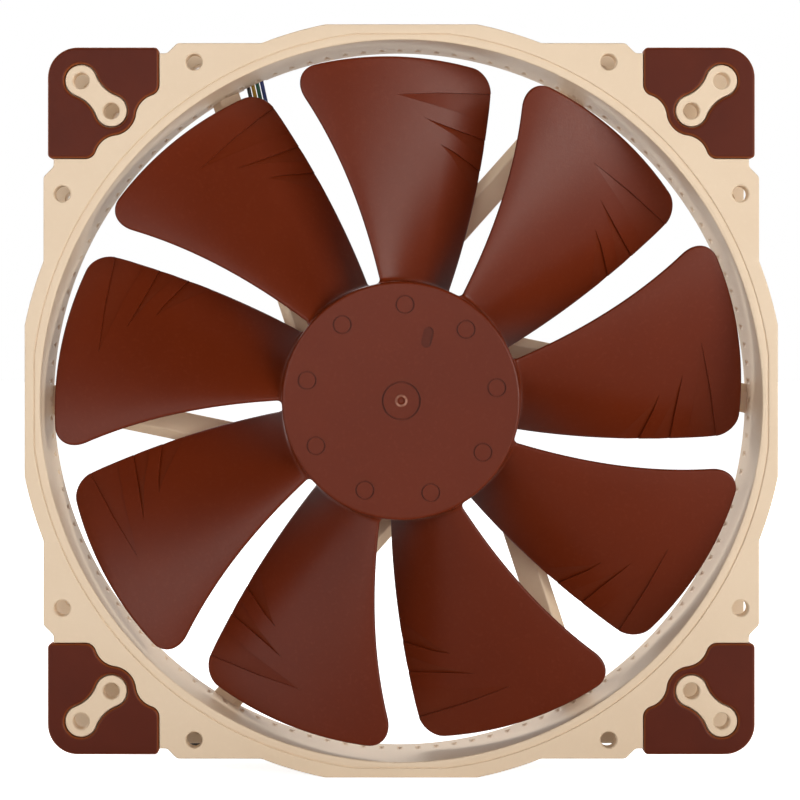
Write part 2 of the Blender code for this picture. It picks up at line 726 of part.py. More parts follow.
def make_electronics():
    board = [circle((0, 0), BOARD_R, 32), circle((0, 0), POST_R + GAP, 16)]
    plate("circuit_board", board, *BOARD_Y, slot="board_green")
    rear = BOARD_Y[1] + GAP
    for name, size, spot, slot in (
        ("driver_chip", CHIP_SIZE, CHIP_AT, "black_plastic"),
        ("capacitor", CAPACITOR_SIZE, CAPACITOR_AT, "ceramic"),
    ):
        box(name, size, Vector((spot[0], rear + size[1] / 2, spot[1])), slot)
    spot = Vector((cos(SENSOR_TURN), 0, sin(SENSOR_TURN))) * SENSOR_R
    spot.y = BOARD_Y[0] - GAP - SENSOR_SIZE[1] / 2
    box("hall_sensor", SENSOR_SIZE, spot, "black_plastic", turn=SENSOR_TURN)
    label_y = FLANGE_FACE - LABEL_RECESS + GAP
    disc("rear_label", LABEL_R - GAP, label_y, label_y + LABEL_T, "label", 32)


def smooth_route(points, spacing):
    """Evenly spaced points of a centripetal spline through the route's points."""
    points = [Vector(p) for p in points]
    ends = [2 * points[0] - points[1]], [2 * points[-1] - points[-2]]
    padded = ends[0] + points + ends[1]
    fine = [points[0]]
    for a, b, c, d in zip(padded, padded[1:], padded[2:], padded[3:]):
        t1 = sqrt((b - a).length)
        t2 = t1 + sqrt((c - b).length)
        t3 = t2 + sqrt((d - c).length)
        for k in range(1, 9):
            t = t1 + (t2 - t1) * k / 8
            ab = a * (t1 - t) / t1 + b * t / t1
            bc = b * (t2 - t) / (t2 - t1) + c * (t - t1) / (t2 - t1)
            cd = c * (t3 - t) / (t3 - t2) + d * (t - t2) / (t3 - t2)
            abc = ab * (t2 - t) / t2 + bc * t / t2
            bcd = bc * (t3 - t) / (t3 - t1) + cd * (t - t1) / (t3 - t1)
            fine.append(abc * (t2 - t) / (t2 - t1) + bcd * (t - t1) / (t2 - t1))
    lengths = [0.0]
    for a, b in zip(fine, fine[1:]):
        lengths.append(lengths[-1] + (b - a).length)
    count = max(2, ceil(lengths[-1] / spacing))
    out = []
    j = 0
    for i in range(count + 1):
        want = lengths[-1] * i / count
        while j < len(lengths) - 2 and lengths[j + 1] < want:
            j += 1
        share = (want - lengths[j]) / (lengths[j + 1] - lengths[j])
        out.append(fine[j].lerp(fine[j + 1], min(1.0, share)))
    return out


def tube(name, points, radius, slot):
    """A round cable along a polyline, with closed ends."""
    curve = bpy.data.curves.new(name, "CURVE")
    curve.dimensions = "3D"
    curve.bevel_depth = radius
    curve.bevel_resolution = 2
    curve.use_fill_caps = True
    spline = curve.splines.new("POLY")
    spline.points.add(len(points) - 1)
    for point, place in zip(spline.points, points):
        point.co = (*place, 1)
    return placed(bpy.data.objects.new(name, curve), parts, slot)


def on_ring(turn, y, radius=LAID_R):
    return Vector((radius * cos(turn), y, radius * sin(turn)))


def lead_route(offset):
    """One lead's points: offset is its place across the ribbon, rising to the right."""
    route = [beside_strut(out * MM, aside * MM - offset) for out, aside in LEADS_ASIDE_MM]
    place, heading = wires_over()
    right = Vector((heading.z, 0, -heading.x))
    crossing = Vector((CROSSING[0], CROSSING_Y, CROSSING[1])) + right * offset
    route.append(crossing - heading * 4.5 * MM)
    route.append(crossing)
    mid = atan2(place.z, place.x)
    turn = mid - offset / LAID_R
    route.append(on_ring(turn, CROSSING_Y - 0.5 * MM, LAID_R + 0.5 * MM))
    route.append(on_ring(turn, 11 * MM, LAID_R + 0.9 * MM))
    bend = TURN_R + offset
    level = LAID_Y - offset
    route.append(on_ring(turn, level + bend + 1.5 * MM))
    for k in range(1, 4):
        lean = pi / 2 * k / 4
        along = bend * (1 - cos(lean)) / LAID_R
        route.append(on_ring(turn + along, level + bend * (1 - sin(lean))))
    end = atan2(GROMMET[1], GROMMET[0])
    last = end - (TURN_R - offset) / LAID_R - 0.005
    first = turn + bend / LAID_R
    for k in range(1, 7):
        route.append(on_ring(first + (last - first) * k / 7, level))
    goal = Vector((GROMMET[0], 0, GROMMET[1]))
    for lean, out in ((0.45, 0.3), (0.95, 1.2), (1.4, 2.4)):
        along = bend * sin(lean) / LAID_R
        point = on_ring(last + along, level + bend * (1 - cos(lean)), LAID_R + out * MM)
        route.append(point)
    pull = Vector((-sin(end), 0, cos(end))) * offset
    finish = goal + pull
    finish.y = 7.6 * MM
    route.append(finish)
    return route


def make_leads():
    for k, colour in enumerate(WIRE_COLOURS):
        offset = (k - 1.5) * WIRE_PITCH
        tube(f"lead_{colour}", lead_route(offset), WIRE_R, f"{colour}_wire")
    lip = GROMMET_LIP_T
    front, rear = FLANGE_FACE - FLANGE_T, FLANGE_FACE
    profile = [
        (0, front - GAP - lip),
        (GROMMET_LIP, front - GAP - lip),
        (GROMMET_LIP, front - GAP),
        (GROMMET_R, front - GAP),
        (GROMMET_R, rear + GAP),
        (GROMMET_LIP, rear + GAP),
        (GROMMET_LIP, rear + GAP + lip),
        (0, rear + GAP + lip),
    ]
    grommet = turned("cable_grommet", profile, "black_plastic", 16, closed=False)
    grommet.location = (GROMMET[0], 0, GROMMET[1])


def make_cable():
    route = [Vector(point) * MM for point in CABLE_ROUTE_MM]
    tube("cable", smooth_route(route, 5 * MM), CABLE_R, "sleeving")
    end = route[-1]
    start = end + Vector((GAP, 0, 0))
    shrink = [start, start + Vector((SHRINK_L, 0, 0))]
    tube("cable_shrink_tube", shrink, SHRINK_R, "black_plastic")
    begin = shrink[-1] + Vector((GAP, 0, 0))
    for k, colour in enumerate(WIRE_COLOURS):
        spread = (k - 1.5) * PLUG_PITCH
        near = begin + Vector((0, (k - 1.5) * WIRE_PITCH, 0))
        far = Vector((begin.x + PLUG_WIRE_L, begin.y + spread, near.z))
        step = Vector((PLUG_WIRE_L / 3, 0, 0))
        line = smooth_route([near, near + step * 0.6, far - step * 0.6, far], 1.2 * MM)
        tube(f"plug_wire_{colour}", line, WIRE_R, f"{colour}_wire")
    plug_x = begin.x + PLUG_WIRE_L + GAP
    centre = (plug_x + PLUG_SIZE[0] / 2, begin.y, FLOOR_Z + PLUG_SIZE[2] / 2 + 0.1 * MM)
    plug = box("plug_housing", PLUG_SIZE, centre, "black_plastic")
    for k in range(4):
        hole_at = (centre[0] + PLUG_SIZE[0] / 2, centre[1] + (k - 1.5) * PLUG_PITCH, centre[2])
        hole = box(f"plug_hole_{k}", (10 * MM, 1.1 * MM, 1.1 * MM), hole_at, group=cutters)
        boolean(plug, hole, "DIFFERENCE")


def rotor_axle():
    axle = bpy.data.objects.new("rotor_axle", None)
    parts.objects.link(axle)
    return axle


make_frame()
make_pads()
make_rotor(rotor_axle())
make_stator()
make_bearing()
make_electronics()
make_leads()
make_cable()
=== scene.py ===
"""Looks of a 200 mm computer case fan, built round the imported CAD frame. Units are metres.

Lengths named here repeat part.py's, with finer steps. The rotor's axis is Y, the intake side
faces -Y and +Z is up. Flat outlines are (x, z), as seen from the intake side.
"""

from math import atan2, ceil, cos, pi, radians, sin, sqrt

import bmesh
import bpy
from mathutils import Matrix, Vector


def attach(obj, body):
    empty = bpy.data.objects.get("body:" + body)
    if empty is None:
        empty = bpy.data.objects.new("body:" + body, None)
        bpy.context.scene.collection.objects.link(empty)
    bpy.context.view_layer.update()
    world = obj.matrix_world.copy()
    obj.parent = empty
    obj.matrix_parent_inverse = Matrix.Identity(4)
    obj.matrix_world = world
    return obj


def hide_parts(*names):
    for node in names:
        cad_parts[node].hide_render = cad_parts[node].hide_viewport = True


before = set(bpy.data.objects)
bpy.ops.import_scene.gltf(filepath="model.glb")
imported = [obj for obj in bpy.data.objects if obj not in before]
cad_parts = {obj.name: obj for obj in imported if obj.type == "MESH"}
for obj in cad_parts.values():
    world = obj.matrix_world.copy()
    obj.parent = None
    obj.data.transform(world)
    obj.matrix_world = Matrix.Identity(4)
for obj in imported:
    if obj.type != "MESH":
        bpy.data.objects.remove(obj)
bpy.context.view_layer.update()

MM = 0.001

# Frame.
HALF_WIDTH = 100 * MM
HALF_SQUARE = 95 * MM
BULGE_R = 102 * MM
CORNER_STEP = 59.5 * MM
HALF_CORNER = 92.3 * MM
CORNER_R = 6.5 * MM
HALF_DEPTH = 15 * MM
FLANGE_FACE = 14.5 * MM
FLANGE_T = 5 * MM
BORE_R = 95.9 * MM
RING_R = 98.4 * MM
GAP = 0.3 * MM
HOLE_R = 2.15 * MM
EDGE_HOLE = (55 * MM, 90 * MM)
CORNER_HOLES = (77 * MM, 85 * MM)
LINE_R = 98.2 * MM  # the fine step line round the inlet
LINE_FLAT = 97.45 * MM  # the same line's flats, behind the frame's four bulges
LINE_FLOOR = 14.08 * MM
LINE_INNER = 97.1 * MM
INLET_FACE = 14.3 * MM
INLET_LIP = 0.45 * MM
TICKS = 120
TICK_SPAN = (5.2 * MM, 9.5 * MM)
TICK_DEPTH = 0.55 * MM

# Pads and bone-shaped bosses.
PAD_OUTER = 93.8 * MM
PAD_END = 64.4 * MM
PAD_CORNER_R = 8 * MM
PAD_END_R = 2.7 * MM
PAD_TIP_R = 1.1 * MM
PAD_NOTCH_R = 6.4 * MM
PAD_NOTCH = (64.3 * MM, 75.2 * MM)
PAD_BOSS_R = 6.45 * MM
PAD_RECESS = 2.2 * MM
PAD_ROUND = 0.75 * MM
BONE_R = 4.15 * MM
BONE_WAIST = 2.9 * MM
PLACES = ("top_right", "low_right", "low_left", "top_left")

# Struts and motor base.
STRUTS = 6
STRUT_TURN = radians(-11.7)
STRUT_OFFSET = 19.6 * MM
STRUT_W = 8 * MM
STRUT_CREST = 0.7
STRUT_FRONT = 9.5 * MM
STRUT_REAR = 14 * MM
BASE_R = 31.3 * MM
BASE_WALL = 1.6 * MM
BASE_FRONT = 9 * MM
BASE_FLOOR = 13 * MM
LABEL_R = 27 * MM
LABEL_RECESS = 0.6 * MM
LABEL_EDGE_MM = ((0, 0), (0, 0.12), (-0.08, 0.2))
LABEL_GROOVE_MM = ((-1.6, 0.2), (-1.7, 0.14), (-1.95, 0.14), (-2.05, 0.2))
POST_R = 6.6 * MM
POST_H = 1.8 * MM
TUBE_R = 4.2 * MM

# Impeller.
BLADES = 9
HUB_R = 31.8 * MM
HUB_FACE = 13.5 * MM
HUB_REAR = 8 * MM
HUB_WALL = 2 * MM
HUB_PLATE = 1.8 * MM
TIP_R = 92.8 * MM
ROOT_R = 30.4 * MM
LEAD_ROUND = 8 * MM
TRAIL_ROUND = 6 * MM
LEAD_Y = (-11.6 * MM, -10.4 * MM)
TRAIL_Y = (6.6 * MM, 6 * MM)
CAMBER = 1.45
BLADE_T = 1.5 * MM
EDGE_T = 1.0 * MM
ROOT_FILLET = 1.3 * MM
CHANNEL_DEPTH = 0.62 * MM
CHANNEL_TILT = 0.7
# Each channel on the top blade: (x, z) of its tip, then of its outer and its inner edge, in mm.
CHANNELS = (
    ((-1.45, 82.36), ((10.96, 83.4), (25.2, 83.7)), ((14.2, 78.56), (23.6, 75.5))),
    ((6.35, 76.27), ((17.07, 72.85), (23.6, 70.95)), ((14.2, 72.1), (23.4, 65.6))),
    ((10.56, 69.33), ((14.3, 67.5), (22.9, 62.0)), ((13.1, 66.8), (21.2, 55.6))),
)
MARK_R = 25.6 * MM
MARK_TURN = radians(7.8)
MARK_PROFILE_MM = ((0, 0.08), (2.16, 0.08), (2.2, 0.45), (2.52, 0.45), (2.56, -0.4), (0, -0.4))
OBLONG_AT = (6.95 * MM, 16.9 * MM)
OBLONG_TURN = radians(77)
OBLONG_REACH = 1.45 * MM  # from its middle to the centre of each round end
OBLONG_R = 1.35 * MM
GATE_RING_R = 1.35 * MM
GATE_MM = ((0, 0.16), (0.6, 0.14), (0.85, -0.04), (1.05, -0.26), (1.35, -0.3), (1.6, -0.16))
GROOVE_MM = ((1.75, 0), (4.74, 0), (4.78, 0.5), (5.14, 0.5), (5.18, 0))
HUB_ROUND = 0.8 * MM
BLADE_FRONT = -12.7 * MM
EDGE_ROUND = 0.6 * MM

# Leads.
WIRE_R = 0.55 * MM
WIRE_PITCH = 1.3 * MM
WIRE_Y = 11.9 * MM
WIRED_STRUT = 2  # the leads run along this strut
LEADS_ASIDE_MM = ((19, 13.0), (26, 13.0), (45, 12.9), (64, 12.6), (80, 11.9))  # out, aside
CROSSING_Y = 13.65 * MM
NOTCH_FLOOR = 12.2 * MM
RIBBON_W = 4 * WIRE_PITCH + 1.2 * MM  # the notches' width
RIM_NOTCH = (10 * MM, 1.9 * MM)
RIM_NOTCH_OUT_MM = 27.6
EDGE_NOTCH_L = 14 * MM
FLANGE_SLOT = (6 * MM, 12 * MM)
SLOT_OUT = 2.9 * MM  # from the duct to the slot's middle
CROSSING = (-40 * MM, 86.7 * MM)  # the middle of the wires, where they cross the duct's edge
CROSSING_TURN = radians(102.5)
LAID_R = RING_R + WIRE_R + GAP
LAID_Y = -1.5 * MM
TURN_R = 4.5 * MM
GROMMET = (-92.4 * MM, 45 * MM)
GROMMET_R = 2.6 * MM
GROMMET_LIP = 3.4 * MM
GROMMET_LIP_T = 1 * MM
GROMMET_MOUTH = (8 * MM, 7.2 * MM, 5 * MM)  # the way in from the frame's side
WIRE_COLOURS = ("black", "yellow", "green", "blue")

# Free cable.
CABLE_R = 2 * MM
CABLE_ROUTE_MM = (
    (-92.4, 16.3, 45.0),
    (-92.5, 20.6, 44.4),
    (-93.2, 24.9, 41.2),
    (-94.7, 27.6, 35.2),
    (-96.9, 28.5, 27.0),
    (-99.2, 28.3, 16.0),
    (-100.4, 27.7, 4.0),
    (-100.6, 27.0, -8.0),
    (-100.0, 26.3, -22.0),
    (-98.6, 25.6, -38.0),
    (-96.8, 25.0, -54.0),
    (-94.6, 24.4, -68.0),
    (-91.0, 23.8, -80.5),
    (-85.0, 23.2, -90.0),
    (-76.0, 22.6, -94.5),
    (-66.0, 22.2, -96.3),
    (-57.0, 22.0, -97.3),
)
SHRINK_R = 2.3 * MM
SHRINK_L = 5 * MM
PLUG_WIRE_L = 8 * MM
PLUG_PITCH = 2.54 * MM
PLUG_SIZE = (12 * MM, 10.4 * MM, 5.8 * MM)
PLUG_RIB = (9 * MM, 1 * MM, 1.2 * MM)
PLUG_SOCKET = (14 * MM, 1.2 * MM, 1.2 * MM)
PLUG_MOUTH = (0.7 * MM, 1.7 * MM, 1.7 * MM)
PLUG_ENTRY = (4 * MM, 1.7 * MM, 2 * MM)
PLUG_WINDOW = (2.6 * MM, 1.1 * MM, 1 * MM)
CONTACT = (5 * MM, 1.05 * MM, 1.05 * MM)
CONTACT_BORE = (9 * MM, 0.7 * MM, 0.7 * MM)
BRAID_PITCH = 3.1 * MM
FLOOR_Z = -HALF_WIDTH

# Camera: level, 600 mm in front of the frame, a little left of the axis and above it.
CAMERA_AT = (-11 * MM, -615 * MM, 12 * MM)
CAMERA_LENS = 101.85
CAMERA_SHIFT = (0.0502, -0.0554)

scene = bpy.context.scene


# Shapes.


def link(shape):
    scene.collection.objects.link(shape)
    return shape


def discard(shapes):
    for shape in shapes:
        bpy.data.objects.remove(shape, do_unlink=True)


def mesh_object(name, points, faces):
    mesh = bpy.data.meshes.new(name)
    mesh.from_pydata([tuple(p) for p in points], [], faces)
    return link(bpy.data.objects.new(name, mesh))


def tidied(shape, merge=1e-6):
    """Welds a mesh, applies its place and turns its faces outwards."""
    bpy.context.view_layer.update()
    work = bmesh.new()
    work.from_mesh(shape.data)
    work.transform(shape.matrix_world)
    bmesh.ops.remove_doubles(work, verts=work.verts, dist=merge)
    bmesh.ops.dissolve_degenerate(work, edges=work.edges, dist=merge)
    bmesh.ops.recalc_face_normals(work, faces=work.faces)
    work.to_mesh(shape.data)
    work.free()
    shape.matrix_world = Matrix.Identity(4)
    return shape


def solid(shape):
    """Replaces an object with a mesh of what its modifiers make of it."""
    bpy.context.view_layer.update()
    evaluated = shape.evaluated_get(bpy.context.evaluated_depsgraph_get())
    mesh = bpy.data.meshes.new_from_object(evaluated)
    made = bpy.data.objects.new("made", mesh)
    made.matrix_world = shape.matrix_world.copy()
    name = shape.name
    bpy.data.objects.remove(shape, do_unlink=True)
    made.name = name
    return link(made)


def extruded(name, loops, length, place, bevel=0.0, steps=3):
    """Flat (u, v) outlines with holes, extruded length/2 to both sides of place."""
    curve = bpy.data.curves.new(name, "CURVE")
    curve.dimensions = "2D"
    curve.fill_mode = "BOTH"
    curve.extrude = length / 2 - bevel
    curve.bevel_depth = bevel
    curve.bevel_resolution = steps
    curve.offset = -bevel
    for loop in loops:
        spline = curve.splines.new("POLY")
        spline.points.add(len(loop) - 1)
        for point, (u, v) in zip(spline.points, loop):
            point.co = (u, v, 0, 1)
        spline.use_cyclic_u = True
    shape = link(bpy.data.objects.new(name, curve))
    shape.matrix_world = place
    return tidied(solid(shape))


def in_mm(points, out=0.0, face=0.0):
    """Points of a profile in mm, counted from a radius and a depth in metres."""
    return [(out + r * MM, face + y * MM) for r, y in points]


def plate(name, loops, front, rear, bevel=0.0, steps=3):
    """Outlines seen from the intake side, between two depths."""
    front, rear = sorted((front, rear))
    upright = Matrix.Rotation(pi / 2, 4, "X")
    place = Matrix.Translation((0, (front + rear) / 2, 0)) @ upright
    return extruded(name, loops, rear - front, place, bevel, steps)


def turned(name, profile, steps=96, centre=(0, 0), closed=True):
    """A profile of (radius, depth) points turned round an axis along Y."""
    rows = []
    points = []
    for r, y in profile:
        if r <= 0:
            rows.append([len(points)] * steps)
            points.append((centre[0], y, centre[1]))
            continue
        rows.append(list(range(len(points), len(points) + steps)))
        for k in range(steps):
            turn = 2 * pi * k / steps
            points.append((centre[0] + r * cos(turn), y, centre[1] + r * sin(turn)))
    pairs = list(zip(rows, rows[1:]))
    if closed:
        pairs.append((rows[-1], rows[0]))
    faces = []
    for a, b in pairs:
        for k in range(steps):
            n = (k + 1) % steps
            corners = [a[k], a[n], b[n], b[k]]
            face = [c for i, c in enumerate(corners) if c != corners[i - 1]]
            if len(set(face)) > 2:
                faces.append(face)
    return tidied(mesh_object(name, points, faces))


def box(name, size, centre, turn=0.0):
    half = Vector(size) / 2
    points = [
        Vector((x * half.x, y * half.y, z * half.z))
        for x in (-1, 1)
        for y in (-1, 1)
        for z in (-1, 1)
    ]
    faces = [(0, 1, 3, 2), (4, 6, 7, 5), (0, 4, 5, 1), (2, 3, 7, 6), (0, 2, 6, 4), (1, 5, 7, 3)]
    shape = mesh_object(name, points, faces)
    shape.matrix_world = Matrix.Translation(centre) @ Matrix.Rotation(turn, 4, "Y")
    return tidied(shape)


def slab(name, first, second, wide, open_sides=(), open_ends=(0,), merge=1e-6):
    """A closed mesh of two grids of points, joined at the sides and ends where they part."""
    half = len(first)
    faces = []
    for row in range(0, half - wide, wide):
        for a in range(row, row + wide - 1):
            faces.append((a, a + 1, a + 1 + wide, a + wide))
            faces.append((half + a, half + a + wide, half + a + 1 + wide, half + a + 1))
        for a in (row + k for k in open_sides):
            faces.append((a, a + wide, half + a + wide, half + a))
    for row in open_ends:
        faces += [(a, a + 1, half + a + 1, half + a) for a in range(row, row + wide - 1)]
    return tidied(mesh_object(name, first + second, faces), merge)


def together(name, shapes):
    """One mesh object of several."""
    work = bmesh.new()
    for shape in shapes:
        work.from_mesh(shape.data)
    mesh = bpy.data.meshes.new(name)
    work.to_mesh(mesh)
    work.free()
    discard(shapes)
    return link(bpy.data.objects.new(name, mesh))


def combined(shape, others, operation):
    """The exact boolean of a mesh with each of the others, in turn."""
    for i, other in enumerate(others):
        step = shape.modifiers.new(f"step_{i}", "BOOLEAN")
        step.object = other
        step.operation = operation
        step.solver = "EXACT"
    shape = solid(shape)
    discard(others)
    return tidied(shape, 2e-6)


def bevelled(shape, width, segments):
    bevel = shape.modifiers.new("edges", "BEVEL")
    bevel.width = width
    bevel.segments = segments
    bevel.limit_method = "ANGLE"
    bevel.angle_limit = radians(40)
    bevel.use_clamp_overlap = True
    return tidied(solid(shape))


def smooth(shape, angle=radians(30), weighted=True):
    """Smooth shading with sharp creases, and large flat faces kept flat."""
    shape.data.shade_smooth()
    shape.data.set_sharp_from_angle(angle=angle)
    if weighted:
        normals = shape.modifiers.new("flat faces", "WEIGHTED_NORMAL")
        normals.keep_sharp = True
        normals.weight = 80
    return shape


# Outlines.


def arc(centre, radius, start, end, steps):
    turns = [start + (end - start) * i / steps for i in range(steps + 1)]
    return [(centre[0] + radius * cos(a), centre[1] + radius * sin(a)) for a in turns]


def circle(centre, radius, steps=48):
    return arc(centre, radius, 0, 2 * pi, steps)[:-1]


def swapped(points):
    return [(v, u) for u, v in reversed(points)]


def quarter_turns(points):
    out = []
    for _ in range(4):
        out += points
        points = [(v, -u) for u, v in points]
    return out


def corner_copies(points):
    signs = ((1, 1), (1, -1), (-1, -1), (-1, 1))
    return [[(a * u, b * v) for u, v in points] for a, b in signs]


def softened(loop, radius, least=radians(14), steps=4):
    """The loop with its sharp corners rounded off."""
    out = []
    count = len(loop)
    for i, corner in enumerate(loop):
        here = Vector(corner)
        back = Vector(loop[i - 1]) - here
        on = Vector(loop[(i + 1) % count]) - here
        if back.length < 1e-9 or on.length < 1e-9:
            continue
        turn = pi - back.angle(on)
        if turn < least:
            out.append(corner)
            continue
        reach = min(radius * sin(turn / 2) / cos(turn / 2), back.length * 0.45, on.length * 0.45)
        first = here + back.normalized() * reach
        last = here + on.normalized() * reach
        for k in range(steps + 1):
            t = k / steps
            point = first * (1 - t) ** 2 + here * 2 * t * (1 - t) + last * t * t
            out.append(tuple(point))
    return out


def flange_outline(grow=0.0):
    width, square, rest = HALF_WIDTH + grow, HALF_SQUARE + grow, HALF_CORNER + grow
    bulge = BULGE_R + grow
    flat = sqrt(bulge**2 - width**2)
    meet = sqrt(bulge**2 - square**2)
    corner = (rest - CORNER_R - grow,) * 2
    octant = arc((0, 0), bulge, atan2(width, flat), atan2(square, meet), 6)
    octant += [(CORNER_STEP, square), (CORNER_STEP + square - rest, rest)]
    octant += arc(corner, CORNER_R + grow, pi / 2, pi / 4, 6)
    return softened(quarter_turns(octant + swapped(octant)[1:]), 1.6 * MM)


def line_outline(grow=0.0):
    """The step line: a circle with four short flats."""
    out = []
    steps = 288
    limit = LINE_FLAT + grow
    for k in range(steps):
        turn = 2 * pi * (k + 0.5) / steps
        x, z = (LINE_R + grow) * cos(turn), (LINE_R + grow) * sin(turn)
        out.append((min(limit, max(-limit, x)), min(limit, max(-limit, z))))
    return out


def pad_outline(grow=0.0):
    low = PAD_END - grow
    high = PAD_OUTER + grow
    notch = Vector(PAD_NOTCH)
    boss = Vector((CORNER_HOLES[0],) * 2)
    end_x = PAD_END + PAD_END_R
    reach = PAD_NOTCH_R + PAD_END_R
    end_z = notch.y + sqrt(reach**2 - (end_x - notch.x) ** 2)
    end_angle = atan2(end_z - notch.y, end_x - notch.x)
    boss_angle = atan2(boss.y - notch.y, boss.x - notch.x)
    corner_r = PAD_TIP_R + grow
    half = arc((low + corner_r, high - corner_r), corner_r, pi / 2, pi, 5)
    half += arc((end_x, end_z), PAD_END_R + grow, pi, pi + end_angle, 6)
    half += arc(notch, PAD_NOTCH_R - grow, end_angle, boss_angle, 10)[1:]
    half += arc(boss, PAD_BOSS_R + grow, pi + boss_angle, 5 * pi / 4, 6)[1:]
    inner = half + swapped(half)[1:]
    corner = (PAD_OUTER - PAD_CORNER_R,) * 2
    return inner + arc(corner, PAD_CORNER_R + grow, 0, pi / 2, 14)


def bone_outline(grow=0.0):
    first, last = (Vector((hole, hole)) for hole in CORNER_HOLES)
    half = (last - first).length / 2
    hollow = (half**2 + BONE_WAIST**2 - BONE_R**2) / (2 * (BONE_R - BONE_WAIST))
    height = BONE_WAIST + hollow
    lean = atan2(height, half)
    side = arc((half, 0), BONE_R + grow, -(pi - lean), pi - lean, 24)
    side += arc((0, height), hollow - grow, lean - pi, -lean, 12)[::-1][1:-1]
    whole = side + [(-u, -v) for u, v in side]
    middle = (first + last) / 2
    turn = Matrix.Rotation(pi / 4, 2)
    return [tuple(middle + turn @ Vector(point)) for point in whole]


# Frame.


def hole_cutters():
    """A round cutter for each screw hole of one flange, with a small chamfer at both faces."""
    a, b = EDGE_HOLE
    spots = [(s * a, t * b) for s in (-1, 1) for t in (-1, 1)]
    spots += [(v, u) for u, v in spots]
    spots += [(s * c, t * c) for c in CORNER_HOLES for s in (-1, 1) for t in (-1, 1)]
    flare = 0.3 * MM
    outer, inner = FLANGE_FACE, FLANGE_FACE - FLANGE_T
    profile = [
        (0, inner - 1 * MM),
        (HOLE_R + flare, inner - 1 * MM),
        (HOLE_R + flare, inner - 0.01 * MM),
        (HOLE_R, inner + flare),
        (HOLE_R, outer - flare),
        (HOLE_R + flare, outer + 0.01 * MM),
        (HOLE_R + flare, outer + 1 * MM),
        (0, outer + 1 * MM),
    ]
    cutters = [
        turned(f"hole_{i}", profile, 32, spot, closed=False) for i, spot in enumerate(spots)
    ]
    return together("holes", cutters)


def flange():
    """The exhaust-side flange; the intake side's is its mirror image."""
    inner, outer = FLANGE_FACE - FLANGE_T, FLANGE_FACE
    loops = [flange_outline(), line_outline()]
    made = plate("flange", loops, inner, outer, 0.4 * MM, 2)
    floor = outer - PAD_RECESS
    recesses = [
        plate("recess", [o], floor, outer + 3 * MM) for o in corner_copies(pad_outline(GAP))
    ]
    made = combined(made, [together("recesses", recesses)], "DIFFERENCE")
    bones = [
        plate("bone", [o], floor - 1.2 * MM, outer, 0.35 * MM, 2)
        for o in corner_copies(bone_outline())
    ]
    made = combined(made, [together("bones", bones)], "UNION")
    return combined(made, [hole_cutters()], "DIFFERENCE")


def mirrored(shape):
    """A copy of a mesh on the other side of the plane y = 0."""
    mesh = shape.data.copy()
    mesh.transform(Matrix.Diagonal((1, -1, 1, 1)))
    copy = link(bpy.data.objects.new(f"{shape.name}_front", mesh))
    return tidied(copy)


def duct():
    """The round duct, with its rounded lips and the fine ticks in its wall."""
    face = INLET_FACE - 0.02 * MM
    half = [(RING_R, 0), (RING_R, LINE_FLOOR), (LINE_INNER, LINE_FLOOR), (LINE_INNER, face)]
    for k in range(5):
        lean = pi / 2 * k / 4
        half.append((BORE_R + INLET_LIP * (1 - sin(lean)), face - INLET_LIP * (1 - cos(lean))))
    inside = [12 * MM, 10 * MM, 9.6 * MM, 9.2 * MM, 7 * MM, 5.4 * MM, 5 * MM, 2.5 * MM]
    wall = [(BORE_R, y) for y in inside]
    rows = half + wall + [(BORE_R, 0)]
    rows += [(r, -y) for r, y in reversed(wall)]
    rows += [(r, -y) for r, y in reversed(half[1:])]
    each = 6
    steps = TICKS * each
    points = []
    for r, y in rows:
        for k in range(steps):
            ticked = k % each == 0 and r == BORE_R and TICK_SPAN[0] < y < TICK_SPAN[1]
            here = r + (TICK_DEPTH if ticked else 0)
            turn = 2 * pi * k / steps
            points.append((here * cos(turn), y, here * sin(turn)))
    count = len(rows)
    faces = []
    for i in range(count):
        a, b = i * steps, (i + 1) % count * steps
        for k in range(steps):
            n = (k + 1) % steps
            faces.append((a + k, a + n, b + n, b + k))
    return tidied(mesh_object("duct", points, faces))


def strut_place(i):
    turn = 2 * pi * i / STRUTS + STRUT_TURN
    along = Vector((cos(turn), 0, sin(turn)))
    across = Vector((-sin(turn), 0, cos(turn)))
    place = Matrix((across, (0, 1, 0), -along)).transposed().to_4x4()
    return place, along, across


def strut(i):
    place, along, across = strut_place(i)
    half = STRUT_W / 2
    crest = -half + STRUT_CREST * STRUT_W
    section = [
        (-half, STRUT_REAR),
        (-half, STRUT_FRONT + 3 * MM),
        (crest, STRUT_FRONT),
        (half, STRUT_FRONT + 2 * MM),
        (half, STRUT_REAR),
    ]
    outer = sqrt((RING_R - 1.2 * MM) ** 2 - STRUT_OFFSET**2)
    inner = sqrt(BASE_R**2 - (STRUT_OFFSET + half) ** 2) - 3 * MM
    place.translation = along * (outer + inner) / 2 + across * STRUT_OFFSET
    return extruded(f"strut_{i}", [softened(section, 0.6 * MM, steps=3)], outer - inner, place)


def motor_base():
    soft = 0.4 * MM
    floor, face = BASE_FLOOR, FLANGE_FACE
    profile = [
        (0, floor + GAP),
        (TUBE_R + GAP, floor + GAP),
        (TUBE_R + GAP, floor - POST_H),
        (POST_R, floor - POST_H),
        (POST_R, floor),
        (BASE_R - BASE_WALL, floor),
        (BASE_R - BASE_WALL, BASE_FRONT + soft),
        (BASE_R - BASE_WALL + soft, BASE_FRONT),
        (BASE_R - soft, BASE_FRONT),
        (BASE_R, BASE_FRONT + soft),
        (BASE_R, face - soft),
        (BASE_R - 0.12 * MM, face - 0.12 * MM),
        (BASE_R - soft, face),
        (LABEL_R + 0.15 * MM, face),
        (LABEL_R, face - 0.15 * MM),
        (LABEL_R, face - LABEL_RECESS),
        (0, face - LABEL_RECESS),
    ]
    return turned("motor_base", profile, 144, closed=False)


